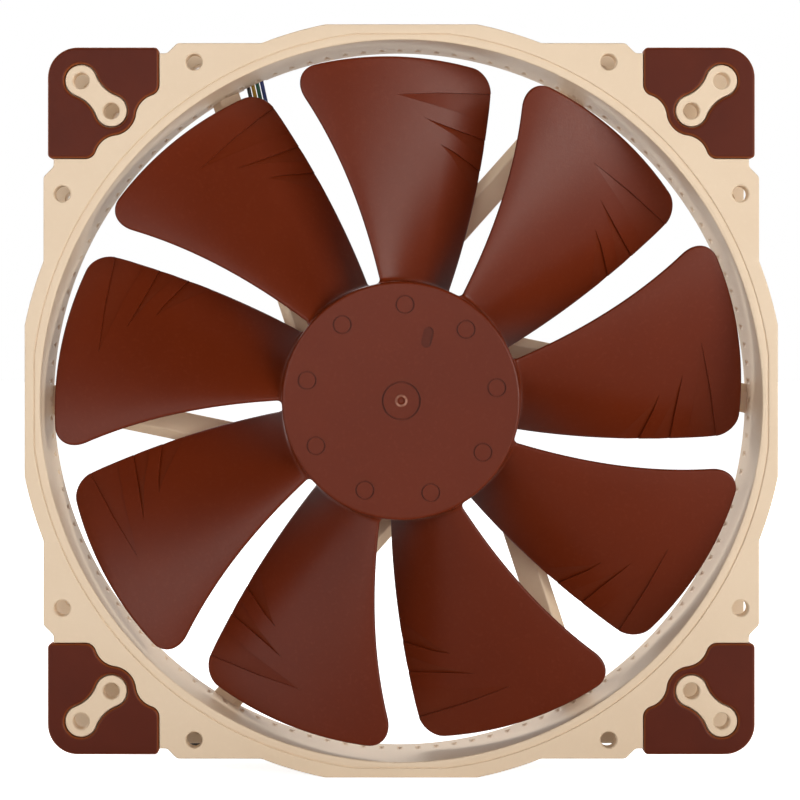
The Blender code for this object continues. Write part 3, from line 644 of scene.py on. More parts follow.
def beside_strut(out_mm, aside):
    """A point level with the leads, beside the strut that they run along."""
    _, along, across = strut_place(WIRED_STRUT)
    return along * out_mm * MM + across * aside + Vector((0, WIRE_Y, 0))


def wire_cuts():
    """Notches for the leads in the base's rim and the duct's edge, and the grommet's opening."""
    turn = -(2 * pi * WIRED_STRUT / STRUTS + STRUT_TURN)
    rim = beside_strut(RIM_NOTCH_OUT_MM, LEADS_ASIDE_MM[0][1] * MM)
    cuts = [box("rim_notch", (*RIM_NOTCH, RIBBON_W), rim, turn)]
    place, heading = wires_over()
    edge = Vector((CROSSING[0], HALF_DEPTH, CROSSING[1])) + heading * 2 * MM
    channel = (EDGE_NOTCH_L, 2 * (HALF_DEPTH - NOTCH_FLOOR), RIBBON_W)
    cuts.append(box("edge_notch", channel, edge, -CROSSING_TURN))
    out = place.normalized() * (RING_R + SLOT_OUT)
    slot = Vector((out.x, FLANGE_FACE, out.z))
    size = (*FLANGE_SLOT, RIBBON_W + 2 * GAP)
    cuts.append(box("flange_slot", size, slot, -atan2(out.z, out.x)))
    cuts.append(plate("bore", [circle(GROMMET, GROMMET_R + GAP, 32)], 9 * MM, 16 * MM))
    mouth = Vector((GROMMET[0] - GROMMET_MOUTH[0] / 2, 12.5 * MM, GROMMET[1]))
    cuts.append(box("mouth", GROMMET_MOUTH, mouth))
    return cuts


def wires_over():
    heading = Vector((cos(CROSSING_TURN), 0, sin(CROSSING_TURN)))
    return Vector((CROSSING[0], 0, CROSSING[1])) + heading * 4.6 * MM, heading


def make_frame():
    rear = flange()
    front = mirrored(rear)
    body = duct()
    for side in (-1, 1):
        loops = [line_outline(-0.16 * MM), circle((0, 0), 96.6 * MM, 288)]
        lip = plate("lip", loops, side * 12 * MM, side * INLET_FACE, 0.18 * MM, 1)
        body = combined(body, [lip], "UNION")
    body = combined(body, [front, rear], "UNION")
    struts = together("struts", [strut(i) for i in range(STRUTS)])
    well = [(0, 5 * MM), (BASE_R - BASE_WALL / 2, 5 * MM)]
    well += [(BASE_R - BASE_WALL / 2, BASE_FLOOR + GAP / 2), (0, BASE_FLOOR + GAP / 2)]
    struts = combined(struts, [turned("well", well, 96, closed=False)], "DIFFERENCE")
    body = combined(body, [struts, motor_base()], "UNION")
    body = combined(body, wire_cuts(), "DIFFERENCE")
    body.name = "frame_moulding"
    return smooth(body, radians(28))


def make_pad(i, side):
    word = "front" if side < 0 else "rear"
    face, back = side * HALF_DEPTH, side * (FLANGE_FACE - FLANGE_T + GAP)
    outline = corner_copies(pad_outline())[i]
    bone = corner_copies(bone_outline(GAP))[i]
    pad = plate("pad", [outline, bone], face, back, PAD_ROUND, 4)
    under = side * (FLANGE_FACE - PAD_RECESS + GAP)
    body = plate("inside", [flange_outline(GAP)], under, back - side * 3 * MM)
    pad = combined(pad, [body], "DIFFERENCE")
    pad.name = f"pad_{word}_{PLACES[i]}_soft"
    return smooth(pad, radians(50))


# Impeller.


def edge_angle(r, lead):
    u = r / MM - 30
    if lead:
        return radians(99.74 + 0.0959 * u + 0.000871 * u * u)
    return radians(65.45 + 0.1535 * u - 0.000256 * u * u)


def rounded_off(r, corner):
    over = max(0.0, r - (TIP_R - corner))
    return (corner - sqrt(max(0.0, corner**2 - over**2))) / r


def fillet(r):
    """How far the blade's root flares at a radius, on its way into the hub's wall."""
    clear = min(max(r - HUB_R, 0.0), ROOT_FILLET)
    return ROOT_FILLET - sqrt(ROOT_FILLET**2 - (ROOT_FILLET - clear) ** 2)


def middle_point(r, turn):
    """A point of the top blade's middle surface, at a radius and an angle."""
    lead, trail = edge_angle(r, True), edge_angle(r, False)
    chord = max(0.0, (lead - turn) / (lead - trail))
    out = (r - HUB_R) / (TIP_R - HUB_R)
    front = LEAD_Y[0] + (LEAD_Y[1] - LEAD_Y[0]) * out
    rear = TRAIL_Y[0] + (TRAIL_Y[1] - TRAIL_Y[0]) * out
    return Vector((r * cos(turn), front + (rear - front) * chord**CAMBER, r * sin(turn)))


def facing(r, turn):
    """The middle surface's normal, towards the intake side."""
    step = 0.1 * MM
    outward = middle_point(r + step, turn) - middle_point(r - step, turn)
    round_it = middle_point(r, turn + step / r) - middle_point(r, turn - step / r)
    normal = outward.cross(round_it).normalized()
    return -normal if normal.y > 0 else normal


def half_thick(chord):
    """Half the blade's thickness at a share of the chord, away from its rounded edges."""
    bulk = sin(pi * min(1.0, 0.18 + 0.82 * chord)) ** 0.7 if chord < 1 else 0.0
    return (EDGE_T + (BLADE_T - EDGE_T) * bulk) / 2


def edge_share(clear, radius):
    """From 0 at a rounded edge to 1 where its rounding ends."""
    return sqrt(max(0.0, 1 - (1 - min(clear / radius, 1.0)) ** 2))


def blade_rows():
    near = [ROOT_R, HUB_R - 0.2 * MM]
    near += [HUB_R + step * MM for step in (0, 0.08, 0.2, 0.4, 0.65, 0.95, 1.3, 1.9)]
    first, shoulder = near[-1], TIP_R - LEAD_ROUND
    span = [first + (shoulder - first) * k / 25 for k in range(1, 26)]
    tip = [shoulder + LEAD_ROUND * sin(pi / 2 * k / 18) for k in range(1, 19)]
    return near + span + tip


def make_blade():
    """The top blade as a closed mesh, with its edges rounded and its root flared."""
    insets = [0, 0.03 * MM, 0.12 * MM, 0.27 * MM, 0.48 * MM, 0.75 * MM]
    inner = 26
    rows = []
    for r in blade_rows():
        flare = fillet(r)
        first = edge_angle(r, True) - rounded_off(r, LEAD_ROUND) + flare / r
        last = edge_angle(r, False) + rounded_off(r, TRAIL_ROUND) - flare / r
        chord = (first - last) * r
        places = insets + [
            insets[-1] + (chord - 2 * insets[-1]) * k / inner for k in range(1, inner)
        ]
        places += [chord - inset for inset in reversed(insets)]
        row = []
        for place in places:
            turn = first - place / r
            clear = min(place, chord - place)
            bulk = half_thick(place / chord) * edge_share(clear, EDGE_ROUND)
            bulk *= edge_share(TIP_R - r, EDGE_ROUND)
            bulk += flare * edge_share(clear, flare + EDGE_ROUND)
            middle = middle_point(r, turn)
            offset = facing(max(r, HUB_R), turn) * bulk
            pair = [middle + offset, middle - offset]
            for point in pair:
                point.y = max(point.y, BLADE_FRONT)
            row.append(pair)
        rows.append(row)
    near, far = ([pair[side] for row in rows for pair in row] for side in (0, 1))
    return slab("blade", near, far, len(rows[0]), merge=3e-6)


def channel_cutter(tip, outer, inner):
    """A wedge that follows the blade's face and cuts a shallow channel into it."""
    steps, across = 18, 5

    def along(points, share):
        a, b, c = (Vector(p) * MM for p in (tip, *points))
        part = (b - a).length / ((b - a).length + (c - b).length)
        if share <= part:
            return a.lerp(b, share / part)
        return b.lerp(c, (share - part) / (1 - part))

    under, over = [], []
    for i in range(steps + 1):
        share = (i / steps) ** 1.15
        first, last = along(outer, share), along(inner, share)
        depth = CHANNEL_DEPTH * min(1.0, 0.2 + 1.6 * share)
        tilt = CHANNEL_TILT * min(1.0, 6 * share)
        for k in range(across + 1):
            flat = first.lerp(last, k / across)
            sunk = depth * (1 - tilt * k / across)
            r, turn = flat.length, atan2(flat.y, flat.x)
            lead, trail = edge_angle(r, True), edge_angle(r, False)
            chord = (lead - turn) / (lead - trail)
            middle, normal = middle_point(r, turn), facing(r, turn)
            top = half_thick(min(chord, 0.97))
            under.append(middle + normal * (top - sunk))
            over.append(middle + normal * (top + 1.5 * MM))
    wide = across + 1
    return slab("channel", under, over, wide, (0, across), (0, steps * wide))


def hub():
    """The hub's cup, with the gate mark and the round groove in the middle of its face."""
    face, wall = -HUB_FACE, HUB_R - HUB_WALL
    profile = [*in_mm(GATE_MM + GROOVE_MM, face=face), (HUB_R - HUB_ROUND, face)]
    for k in range(1, 7):
        lean = pi / 2 * k / 6
        profile.append((HUB_R - HUB_ROUND * (1 - sin(lean)), face + HUB_ROUND * (1 - cos(lean))))
    profile += [
        (HUB_R, HUB_REAR - 0.3 * MM),
        (HUB_R - 0.3 * MM, HUB_REAR),
        (wall, HUB_REAR),
        (wall, face + HUB_PLATE),
        (0, face + HUB_PLATE),
    ]
    return turned("hub", profile, 144, closed=False)


def hub_marks():
    """Cutters for the nine ejector marks and the oblong one."""
    face = -HUB_FACE
    cuts = []
    for k in range(BLADES):
        turn = MARK_TURN + 2 * pi * k / BLADES
        spot = (MARK_R * cos(turn), MARK_R * sin(turn))
        profile = in_mm(MARK_PROFILE_MM, face=face)
        cuts.append(turned(f"mark_{k}", profile, 40, spot, closed=False))
    lean = Vector((cos(OBLONG_TURN), sin(OBLONG_TURN))) * OBLONG_REACH
    middle = Vector(OBLONG_AT)
    outline = []
    for side in (1, -1):
        start = OBLONG_TURN - side * pi / 2
        outline += arc(middle + side * lean, OBLONG_R, start, start + pi, 12)
    cuts.append(plate("slot", [outline], face - 0.4 * MM, face + 0.4 * MM))
    return together("marks", cuts)


def make_impeller():
    cutters = [channel_cutter(*channel) for channel in CHANNELS]
    top = combined(make_blade(), [together("channels", cutters)], "DIFFERENCE")
    blades = []
    for i in range(BLADES):
        mesh = top.data.copy()
        mesh.transform(Matrix.Rotation(2 * pi * i / BLADES, 4, "Y"))
        blades.append(link(bpy.data.objects.new(f"blade_{i}", mesh)))
    discard([top])
    body = combined(hub(), [hub_marks()], "DIFFERENCE")
    body = combined(body, [together("blades", blades)], "UNION")
    body.name = "impeller_moulding"
    smooth(body, radians(32))
    keep_flat(body, -HUB_FACE)
    return body


def keep_flat(shape, depth):
    """Shades the flat face at a depth apart from what it meets."""
    work = bmesh.new()
    work.from_mesh(shape.data)
    for vert in work.verts:
        if abs(vert.co.y - depth) < 5e-6:
            vert.co.y = depth
    flat = {f for f in work.faces if all(abs(v.co.y - depth) < 1e-8 for v in f.verts)}
    for edge in work.edges:
        inside = sum(face in flat for face in edge.link_faces)
        if inside == 1:
            edge.smooth = False
    work.to_mesh(shape.data)
    work.free()


# Leads, cable and connector.


def smooth_route(points, spacing):
    """Evenly spaced points of a centripetal spline through the route's points."""
    points = [Vector(p) for p in points]
    padded = [2 * points[0] - points[1], *points, 2 * points[-1] - points[-2]]
    fine = [points[0]]
    for a, b, c, d in zip(padded, padded[1:], padded[2:], padded[3:]):
        t1 = sqrt((b - a).length)
        t2 = t1 + sqrt((c - b).length)
        t3 = t2 + sqrt((d - c).length)
        for k in range(1, 9):
            t = t1 + (t2 - t1) * k / 8
            ab = a * (t1 - t) / t1 + b * t / t1
            bc = b * (t2 - t) / (t2 - t1) + c * (t - t1) / (t2 - t1)
            cd = c * (t3 - t) / (t3 - t2) + d * (t - t2) / (t3 - t2)
            abc = ab * (t2 - t) / t2 + bc * t / t2
            bcd = bc * (t3 - t) / (t3 - t1) + cd * (t - t1) / (t3 - t1)
            fine.append(abc * (t2 - t) / (t2 - t1) + bcd * (t - t1) / (t2 - t1))
    lengths = [0.0]
    for a, b in zip(fine, fine[1:]):
        lengths.append(lengths[-1] + (b - a).length)
    count = max(2, ceil(lengths[-1] / spacing))
    out = []
    j = 0
    for i in range(count + 1):
        want = lengths[-1] * i / count
        while j < len(lengths) - 2 and lengths[j + 1] < want:
            j += 1
        share = (want - lengths[j]) / (lengths[j + 1] - lengths[j])
        out.append(fine[j].lerp(fine[j + 1], min(1.0, share)))
    return out


def swept(name, path, section):
    """A closed tube along a path. section(share, length) gives the (u, v) points of its outline."""
    tangents = []
    for i in range(len(path)):
        on, back = path[min(i + 1, len(path) - 1)], path[max(i - 1, 0)]
        tangents.append((on - back).normalized())
    side = tangents[0].orthogonal().normalized()
    if abs(tangents[0].z) < 0.9:
        side = tangents[0].cross(Vector((0, 0, 1))).normalized()
    points, faces = [], []
    length = 0.0
    for i, (here, tangent) in enumerate(zip(path, tangents)):
        if i:
            length += (here - path[i - 1]).length
        side = (side - tangent * side.dot(tangent)).normalized()
        up = side.cross(tangent)
        outline = section(i / (len(path) - 1), length)
        points += [here + side * u + up * v for u, v in outline]
    wide = len(points) // len(path)
    for i in range(len(path) - 1):
        for k in range(wide):
            n = (k + 1) % wide
            a, b = i * wide, (i + 1) * wide
            faces.append((a + k, a + n, b + n, b + k))
    for base, here in ((0, path[0]), (len(points) - wide, path[-1])):
        points.append(here)
        faces += [(base + k, base + (k + 1) % wide, len(points) - 1) for k in range(wide)]
    return tidied(mesh_object(name, points, faces))


def wire(name, route):
    """A round insulated wire, its ends a little rounded."""

    def section(share, _):
        soft = 0.8 if share in (0.0, 1.0) else 1.0
        return circle((0, 0), WIRE_R * soft, 20)

    return smooth(swept(name, route, section), radians(60), weighted=False)


def on_ring(turn, y, radius=LAID_R):
    return Vector((radius * cos(turn), y, radius * sin(turn)))


def lead_route(offset):
    """One lead's points: offset is its place across the ribbon, rising to the right."""
    route = [beside_strut(out, aside * MM - offset) for out, aside in LEADS_ASIDE_MM]
    place, heading = wires_over()
    right = Vector((heading.z, 0, -heading.x))
    crossing = Vector((CROSSING[0], CROSSING_Y, CROSSING[1])) + right * offset
    route += [crossing - heading * 4.5 * MM, crossing]
    turn = atan2(place.z, place.x) - offset / LAID_R
    route.append(on_ring(turn, CROSSING_Y - 0.5 * MM, LAID_R + 0.5 * MM))
    route.append(on_ring(turn, 11 * MM, LAID_R + 0.9 * MM))
    bend = TURN_R + offset
    level = LAID_Y - offset
    route.append(on_ring(turn, level + bend + 1.5 * MM))
    for k in range(1, 4):
        lean = pi / 2 * k / 4
        aside = bend * (1 - cos(lean)) / LAID_R
        route.append(on_ring(turn + aside, level + bend * (1 - sin(lean))))
    end = atan2(GROMMET[1], GROMMET[0])
    last = end - (TURN_R - offset) / LAID_R - 0.005
    first = turn + bend / LAID_R
    route += [on_ring(first + (last - first) * k / 7, level) for k in range(1, 7)]
    for lean, out in ((0.45, 0.3), (0.95, 1.2), (1.4, 2.4)):
        aside = bend * sin(lean) / LAID_R
        route.append(on_ring(last + aside, level + bend * (1 - cos(lean)), LAID_R + out * MM))
    pull = Vector((-sin(end), 0, cos(end))) * offset
    route.append(Vector((GROMMET[0], 7.6 * MM, GROMMET[1])) + pull)
    return route


def make_leads():
    made = {}
    for k, colour in enumerate(WIRE_COLOURS):
        route = smooth_route(lead_route((k - 1.5) * WIRE_PITCH), 1.2 * MM)
        made[colour] = wire(f"lead_wire_{colour}", route)
    return made


def make_grommet():
    lip, soft = GROMMET_LIP_T, 0.25 * MM
    front, rear = FLANGE_FACE - FLANGE_T - GAP, FLANGE_FACE + GAP
    profile = [
        (0, front - lip),
        (GROMMET_LIP - soft, front - lip),
        (GROMMET_LIP, front - lip + soft),
        (GROMMET_LIP, front - soft),
        (GROMMET_LIP - soft, front),
        (GROMMET_R, front),
        (GROMMET_R, rear),
        (GROMMET_LIP - soft, rear),
        (GROMMET_LIP, rear + soft),
        (GROMMET_LIP - 0.1 * MM, rear + lip - soft),
        (CABLE_R + 0.55 * MM, rear + lip),
        (CABLE_R + 0.1 * MM, rear + lip - 0.05 * MM),
        (0, rear + lip - 0.4 * MM),
    ]
    made = turned("cable_grommet_rubber", profile, 48, GROMMET, closed=False)
    return smooth(made, radians(50))


def braided(share, length):
    """The sleeve's outline: two crossing sets of strands, over and under each other."""
    sets, steps = 8, 48
    out = []
    on = 2 * pi * length / BRAID_PITCH
    for k in range(steps):
        turn = 2 * pi * k / steps
        one = sets * turn / 2 + on
        two = sets * turn / 2 - on
        over = cos(sets * turn / 2) * cos(on)
        weave = max((1 + cos(one)) * (1 + 0.45 * over), (1 + cos(two)) * (1 - 0.45 * over))
        radius = CABLE_R - 0.2 * MM + 0.07 * MM * weave
        if share in (0.0, 1.0):
            radius -= 0.3 * MM
        out.append((radius * cos(turn), radius * sin(turn)))
    return out


def shrunk(share, _):
    """The shrink tube's outline: round over the sleeve, flat over the four wires."""
    flat = max(0.0, min(1.0, (share - 0.35) / 0.5))
    flat = flat * flat * (3 - 2 * flat)
    wide = SHRINK_R + 0.35 * MM * flat
    high = SHRINK_R - 1.15 * MM * flat
    soft = 0.72 if share in (0.0, 1.0) else 1.0
    out = []
    for k in range(48):
        turn = 2 * pi * k / 48
        dents = 1 + 0.035 * flat * cos(8 * turn)
        out.append((wide * soft * dents * cos(turn), high * soft * dents * sin(turn)))
    return out


def make_cable():
    route = [Vector(point) * MM for point in CABLE_ROUTE_MM]
    path = smooth_route(route, 0.3 * MM)
    sleeve = smooth(swept("cable_sleeve", path, braided), radians(80), weighted=False)
    end = route[-1]
    begin = end + Vector((GAP + SHRINK_L + GAP, 0, 0))
    covered = [end + Vector((-1.5 * MM + k * 0.4 * MM, 0, 0)) for k in range(18)]
    shrink = smooth(swept("cable_shrink", covered, shrunk), radians(60), weighted=False)
    leads = {}
    for k, colour in enumerate(WIRE_COLOURS):
        near = begin + Vector((-1 * MM, (k - 1.5) * WIRE_PITCH * 0.92, 0))
        far = begin + Vector((PLUG_WIRE_L + 1.4 * MM, (k - 1.5) * PLUG_PITCH, 0))
        middle = [near + Vector((2.4 * MM, 0, 0)), far - Vector((3 * MM, 0, 0))]
        leads[colour] = wire(f"plug_lead_{colour}", smooth_route([near, *middle, far], 0.5 * MM))
    return path, sleeve, shrink, leads, begin


def make_plug(begin):
    """The four-way connector with its ribs, wire entries and contacts."""
    length, width, height = PLUG_SIZE
    rear = begin.x + PLUG_WIRE_L + GAP
    centre = Vector((rear + length / 2, begin.y, FLOOR_Z + height / 2 + 0.1 * MM))
    body = bevelled(box("plug_body", PLUG_SIZE, centre), 0.35 * MM, 3)
    ribs = []
    for side in (-1, 1):
        spot = centre + Vector((1.4 * MM, side * 2.6 * MM, height / 2 + 0.2 * MM))
        ribs.append(bevelled(box("rib", PLUG_RIB, spot), 0.15 * MM, 2))
    body = combined(body, [together("ribs", ribs)], "UNION")
    cuts = []
    contacts = []
    for k in range(4):
        spot = centre + Vector((length / 2, (k - 1.5) * PLUG_PITCH, 0))
        cuts.append(box("socket", PLUG_SOCKET, spot))
        cuts.append(box("mouth", PLUG_MOUTH, spot + Vector((0.1 * MM, 0, 0))))
        entry = spot - Vector((length, 0, -(begin.z - centre.z)))
        cuts.append(box("entry", PLUG_ENTRY, entry))
        notch = centre + Vector((-2.5 * MM, (k - 1.5) * PLUG_PITCH, -height / 2))
        cuts.append(box("window", PLUG_WINDOW, notch))
        tube = box("contact", CONTACT, spot - Vector((3.2 * MM, 0, 0)))
        bore = box("bore", CONTACT_BORE, spot)
        contacts.append(combined(tube, [bore], "DIFFERENCE"))
    for cut in cuts:
        body = combined(body, [cut], "DIFFERENCE")
    body.name = "plug_body"
    return smooth(body, radians(35)), smooth(together("plug_contacts", contacts), radians(30))


def make_label():
    face, outer = FLANGE_FACE - LABEL_RECESS + GAP, LABEL_R - GAP
    rim = in_mm(LABEL_EDGE_MM + LABEL_GROOVE_MM, outer, face)
    profile = [(0, face), *rim, (0, rim[-1][1])]
    return smooth(turned("rear_label_disc", profile, 128, closed=False), radians(30))


# Materials.


def node(tree, kind, inputs=None, **settings):
    """Adds a shader node. inputs maps a socket's name or place to a value or another socket."""
    made = tree.nodes.new(f"ShaderNode{kind}")
    for key, value in settings.items():
        setattr(made, key, value)
    for key, value in (inputs or {}).items():
        if isinstance(value, bpy.types.NodeSocket):
            tree.links.new(value, made.inputs[key])
        else:
            made.inputs[key].default_value = value
    return made


def new_material(name, roughness=0.5, metallic=0.0, specular=0.5):
    made = bpy.data.materials.new(name)
    made.use_nodes = True
    shader = made.node_tree.nodes["Principled BSDF"]
    shader.inputs["Roughness"].default_value = roughness
    shader.inputs["Metallic"].default_value = metallic
    shader.inputs["Specular IOR Level"].default_value = specular
    return made, made.node_tree, shader


def place_on(tree, stretch=None):
    place = node(tree, "TexCoord").outputs["Object"]
    if stretch:
        place = node(tree, "Mapping", {"Vector": place, "Scale": stretch}).outputs[0]
    return place


def noise(tree, place, scale, detail=2.0, rough=0.55):
    inputs = {"Vector": place, "Scale": scale, "Detail": detail, "Roughness": rough}
    return node(tree, "TexNoise", inputs).outputs["Fac"]


def ranged(tree, value, low, high, to_low, to_high):
    inputs = {"Value": value, 1: low, 2: high, 3: to_low, 4: to_high}
    return node(tree, "MapRange", inputs).outputs[0]


def blended(tree, factor, first, second):
    first = (*first, 1) if isinstance(first, tuple) else first
    second = (*second, 1) if isinstance(second, tuple) else second
    return node(tree, "Mix", {0: factor, 6: first, 7: second}, data_type="RGBA").outputs[2]


def maths(tree, operation, *values):
    return node(tree, "Math", dict(enumerate(values)), operation=operation).outputs[0]


def vectors(tree, operation, *values, output=0):
    made = node(tree, "VectorMath", dict(enumerate(values)), operation=operation)
    return made.outputs[output]


def dressed(tree, shader, tint, height, depth, rough=None):
    """Gives a shader its colour, its relief and, where it varies, its roughness."""
    tree.links.new(tint, shader.inputs["Base Color"])
    if rough is not None:
        tree.links.new(rough, shader.inputs["Roughness"])
    relief = node(tree, "Bump", {"Height": height, "Distance": depth}).outputs[0]
    tree.links.new(relief, shader.inputs["Normal"])


def moulded(name, colour, shade, fleck, roughness, grain, depth, specular=0.5):
    """Moulded plastic: broad mottling, pale flecks and a spark-eroded grain."""
    made, tree, shader = new_material(name, specular=specular)
    place = place_on(tree)
    broad = noise(tree, place, 38, 3)
    mottle = blended(tree, ranged(tree, broad, 0.3, 0.7, 0, 1), colour, shade)
    specks = ranged(tree, noise(tree, place, grain * 0.45, 1, 0.4), 0.55, 0.8, 0, 0.16)
    fine = noise(tree, place, grain, 2)
    rough = ranged(tree, fine, 0.3, 0.7, roughness - 0.05, roughness + 0.06)
    dressed(tree, shader, blended(tree, specks, mottle, fleck), fine, depth, rough)
    return made


def hub_light_painted(material):
    """Paints a highlight, as a paler colour, on the small raised ring in the middle of the hub's
    face, and paints shade, as a darker colour, into its oblong mark.
    """
    tree = material.node_tree
    colour = tree.nodes["Principled BSDF"].inputs["Base Color"]
    before = colour.links[0].from_socket
    place = place_on(tree)
    across = vectors(tree, "MULTIPLY", place, (1, 0, 1))
    out = vectors(tree, "LENGTH", across, output="Value")
    off_ring = maths(tree, "ABSOLUTE", maths(tree, "SUBTRACT", out, GATE_RING_R))
    patchy = ranged(tree, noise(tree, place, 900, 2), 0.35, 0.6, 0.35, 0.9)
    # Painted highlight: the crest of the raised ring is painted paler, patchily.
    ring = ranged(tree, off_ring, 0.2 * MM, 0.42 * MM, 1, 0)
    painted_ring_highlight = blended(tree, maths(tree, "MULTIPLY", ring, patchy), before, (0.42, 0.2, 0.14))

    # Painted shade: the oblong mark is painted darker than the face round it.
    lean = Vector((cos(OBLONG_TURN), 0, sin(OBLONG_TURN)))
    aside = vectors(tree, "SUBTRACT", across, (OBLONG_AT[0], 0, OBLONG_AT[1]))
    ends = (-OBLONG_REACH, OBLONG_REACH)
    along = ranged(tree, vectors(tree, "DOT_PRODUCT", aside, lean, output="Value"), *ends, *ends)
    near = node(tree, "VectorMath", {0: lean, "Scale": along}, operation="SCALE").outputs[0]
    off = vectors(tree, "LENGTH", vectors(tree, "SUBTRACT", aside, near), output="Value")
    share = ranged(tree, off, 1.1 * MM, 1.5 * MM, 0.85, 0)
    tree.links.new(blended(tree, share, painted_ring_highlight, (0.088, 0.0105, 0.0012)), colour)


def silicone(name, colour, shade, rim):
    """Matt silicone, with a warmer, lighter colour painted on its rounded edges and sides: a
    painted glow for the light they let through.
    """
    made, tree, shader = new_material(name, specular=0.18)
    place = place_on(tree)
    mottle = blended(tree, ranged(tree, noise(tree, place, 70, 3), 0.3, 0.7, 0, 1), colour, shade)
    turned_to = node(tree, "SeparateXYZ", {0: node(tree, "TexCoord").outputs["Normal"]})
    flat = maths(tree, "ABSOLUTE", turned_to.outputs[1])
    # Painted glow: where the normal turns away from the Y axis, the colour goes over to the lighter
    # rim colour.
    tint = blended(tree, ranged(tree, flat, 0.97, 0.45, 0, 1), mottle, rim)
    fine = noise(tree, place, 1500, 2)
    dressed(tree, shader, tint, fine, 0.00002, ranged(tree, fine, 0.3, 0.7, 0.4, 0.5))
    return made


def metal(name, colour, shade, roughness, stretch):
    """Drawn or turned metal, with fine marks and a slight tarnish."""
    made, tree, shader = new_material(name, roughness, 1.0)
    marks = noise(tree, place_on(tree, stretch), 1.0, 3)
    tarnish = noise(tree, place_on(tree), 160, 3)
    tint = blended(tree, ranged(tree, tarnish, 0.35, 0.7, 0, 1), colour, shade)
    rough = ranged(tree, marks, 0.3, 0.7, roughness - 0.08, roughness + 0.12)
    dressed(tree, shader, tint, marks, 0.000008, rough)
    return made


def insulation(name, colour, shade):
    """PVC wire insulation, smooth with faint draw marks."""
    made, tree, shader = new_material(name)
    place = place_on(tree)
    tint = blended(tree, noise(tree, place, 260, 3), colour, shade)
    fine = noise(tree, place, 2600, 2)
    dressed(tree, shader, tint, fine, 0.00001, ranged(tree, fine, 0.3, 0.7, 0.3, 0.42))
    return made


def wound_copper():
    """Enamelled winding wire, laid side by side across each coil."""
    made, tree, shader = new_material("coil_copper", 0.3, 1.0)
    inputs = {"Vector": place_on(tree), "Scale": 900, "Distortion": 0.6, "Detail": 1}
    turns = node(tree, "TexWave", inputs, bands_direction="DIAGONAL").outputs["Fac"]
    tint = blended(tree, turns, (0.32, 0.1, 0.03), (0.62, 0.26, 0.1))
    dressed(tree, shader, tint, turns, 0.00008)
    return made


def laminated():
    """Stacked steel sheets, seen at their edges as fine lines."""
    made, tree, shader = new_material("core_laminations", 0.42, 1.0)
    inputs = {"Vector": place_on(tree), "Scale": 630, "Distortion": 0.2, "Detail": 1}
    sheets = node(tree, "TexWave", inputs, bands_direction="Y").outputs["Fac"]
    tint = blended(tree, sheets, (0.12, 0.12, 0.13), (0.36, 0.36, 0.38))
    dressed(tree, shader, tint, sheets, 0.00004)
    return made


def solder_mask():
    """A green circuit board with broad traces under its mask."""
    made, tree, shader = new_material("board_mask", 0.35)
    place = place_on(tree)
    inputs = {"Vector": place, "Scale": 330, "Randomness": 0.35}
    cells = node(tree, "TexVoronoi", inputs, distance="CHEBYCHEV").outputs["Distance"]
    traces = ranged(tree, cells, 0.3, 0.34, 1, 0)
    tint = blended(tree, traces, (0.012, 0.085, 0.035), (0.03, 0.16, 0.06))
    fine = noise(tree, place, 900, 2)
    dressed(tree, shader, tint, traces, 0.00004, ranged(tree, fine, 0.3, 0.7, 0.28, 0.42))
    return made


def sleeve_cloth():
    """Black polyester braid: fine threads along the strands, and a soft sheen."""
    made, tree, shader = new_material("sleeve_braid", 0.55)
    threads = noise(tree, place_on(tree, (2200, 2200, 900)), 1.0, 3)
    tint = blended(tree, threads, (0.008, 0.008, 0.009), (0.05, 0.048, 0.047))
    shader.inputs["Sheen Weight"].default_value = 0.25
    dressed(tree, shader, tint, threads, 0.00004, ranged(tree, threads, 0.3, 0.7, 0.45, 0.7))
    return made


def printed_label():
    """A plain brown label film with no print, slightly glossy."""
    made, tree, shader = new_material("label_film", 0.35)
    place = place_on(tree)
    tint = blended(tree, noise(tree, place, 55, 3), (0.075, 0.02, 0.012), (0.055, 0.014, 0.009))
    ripple = noise(tree, place, 240, 2)
    dressed(tree, shader, tint, ripple, 0.00003, ranged(tree, ripple, 0.3, 0.7, 0.3, 0.42))
    return made


# A moulding's colour, shade and fleck, its roughness, its grain and the grain's depth.
MOULDINGS = {
    "beige_moulding": (
        ((0.8, 0.635, 0.465), (0.775, 0.605, 0.435), (0.86, 0.7, 0.53)),
        (0.42, 1700, 0.000012),
    ),
    "brown_moulding": (
        ((0.135, 0.0175, 0.003), (0.122, 0.0152, 0.0024), (0.2, 0.045, 0.02)),
        (0.34, 2100, 0.000016, 0.23),
    ),
    "black_moulding": (
        ((0.013, 0.013, 0.014), (0.018, 0.018, 0.018), (0.03, 0.03, 0.03)),
        (0.42, 1900, 0.000012),
    ),
    "natural_nylon": (
        ((0.76, 0.73, 0.66), (0.7, 0.67, 0.6), (0.85, 0.83, 0.78)),
        (0.45, 1500, 0.00001),
    ),
    "bonded_magnet": (
        ((0.05, 0.048, 0.046), (0.035, 0.034, 0.033), (0.12, 0.115, 0.11)),
        (0.62, 2400, 0.00002),
    ),
    "ceramic_body": (
        ((0.34, 0.23, 0.13), (0.29, 0.19, 0.1), (0.42, 0.3, 0.19)),
        (0.5, 2600, 0.000008),
    ),
}
BEIGE, BROWN, BLACK, NYLON, MAGNET, CERAMIC = (
    moulded(name, *colours, *surface) for name, (colours, surface) in MOULDINGS.items()
)
hub_light_painted(BROWN)
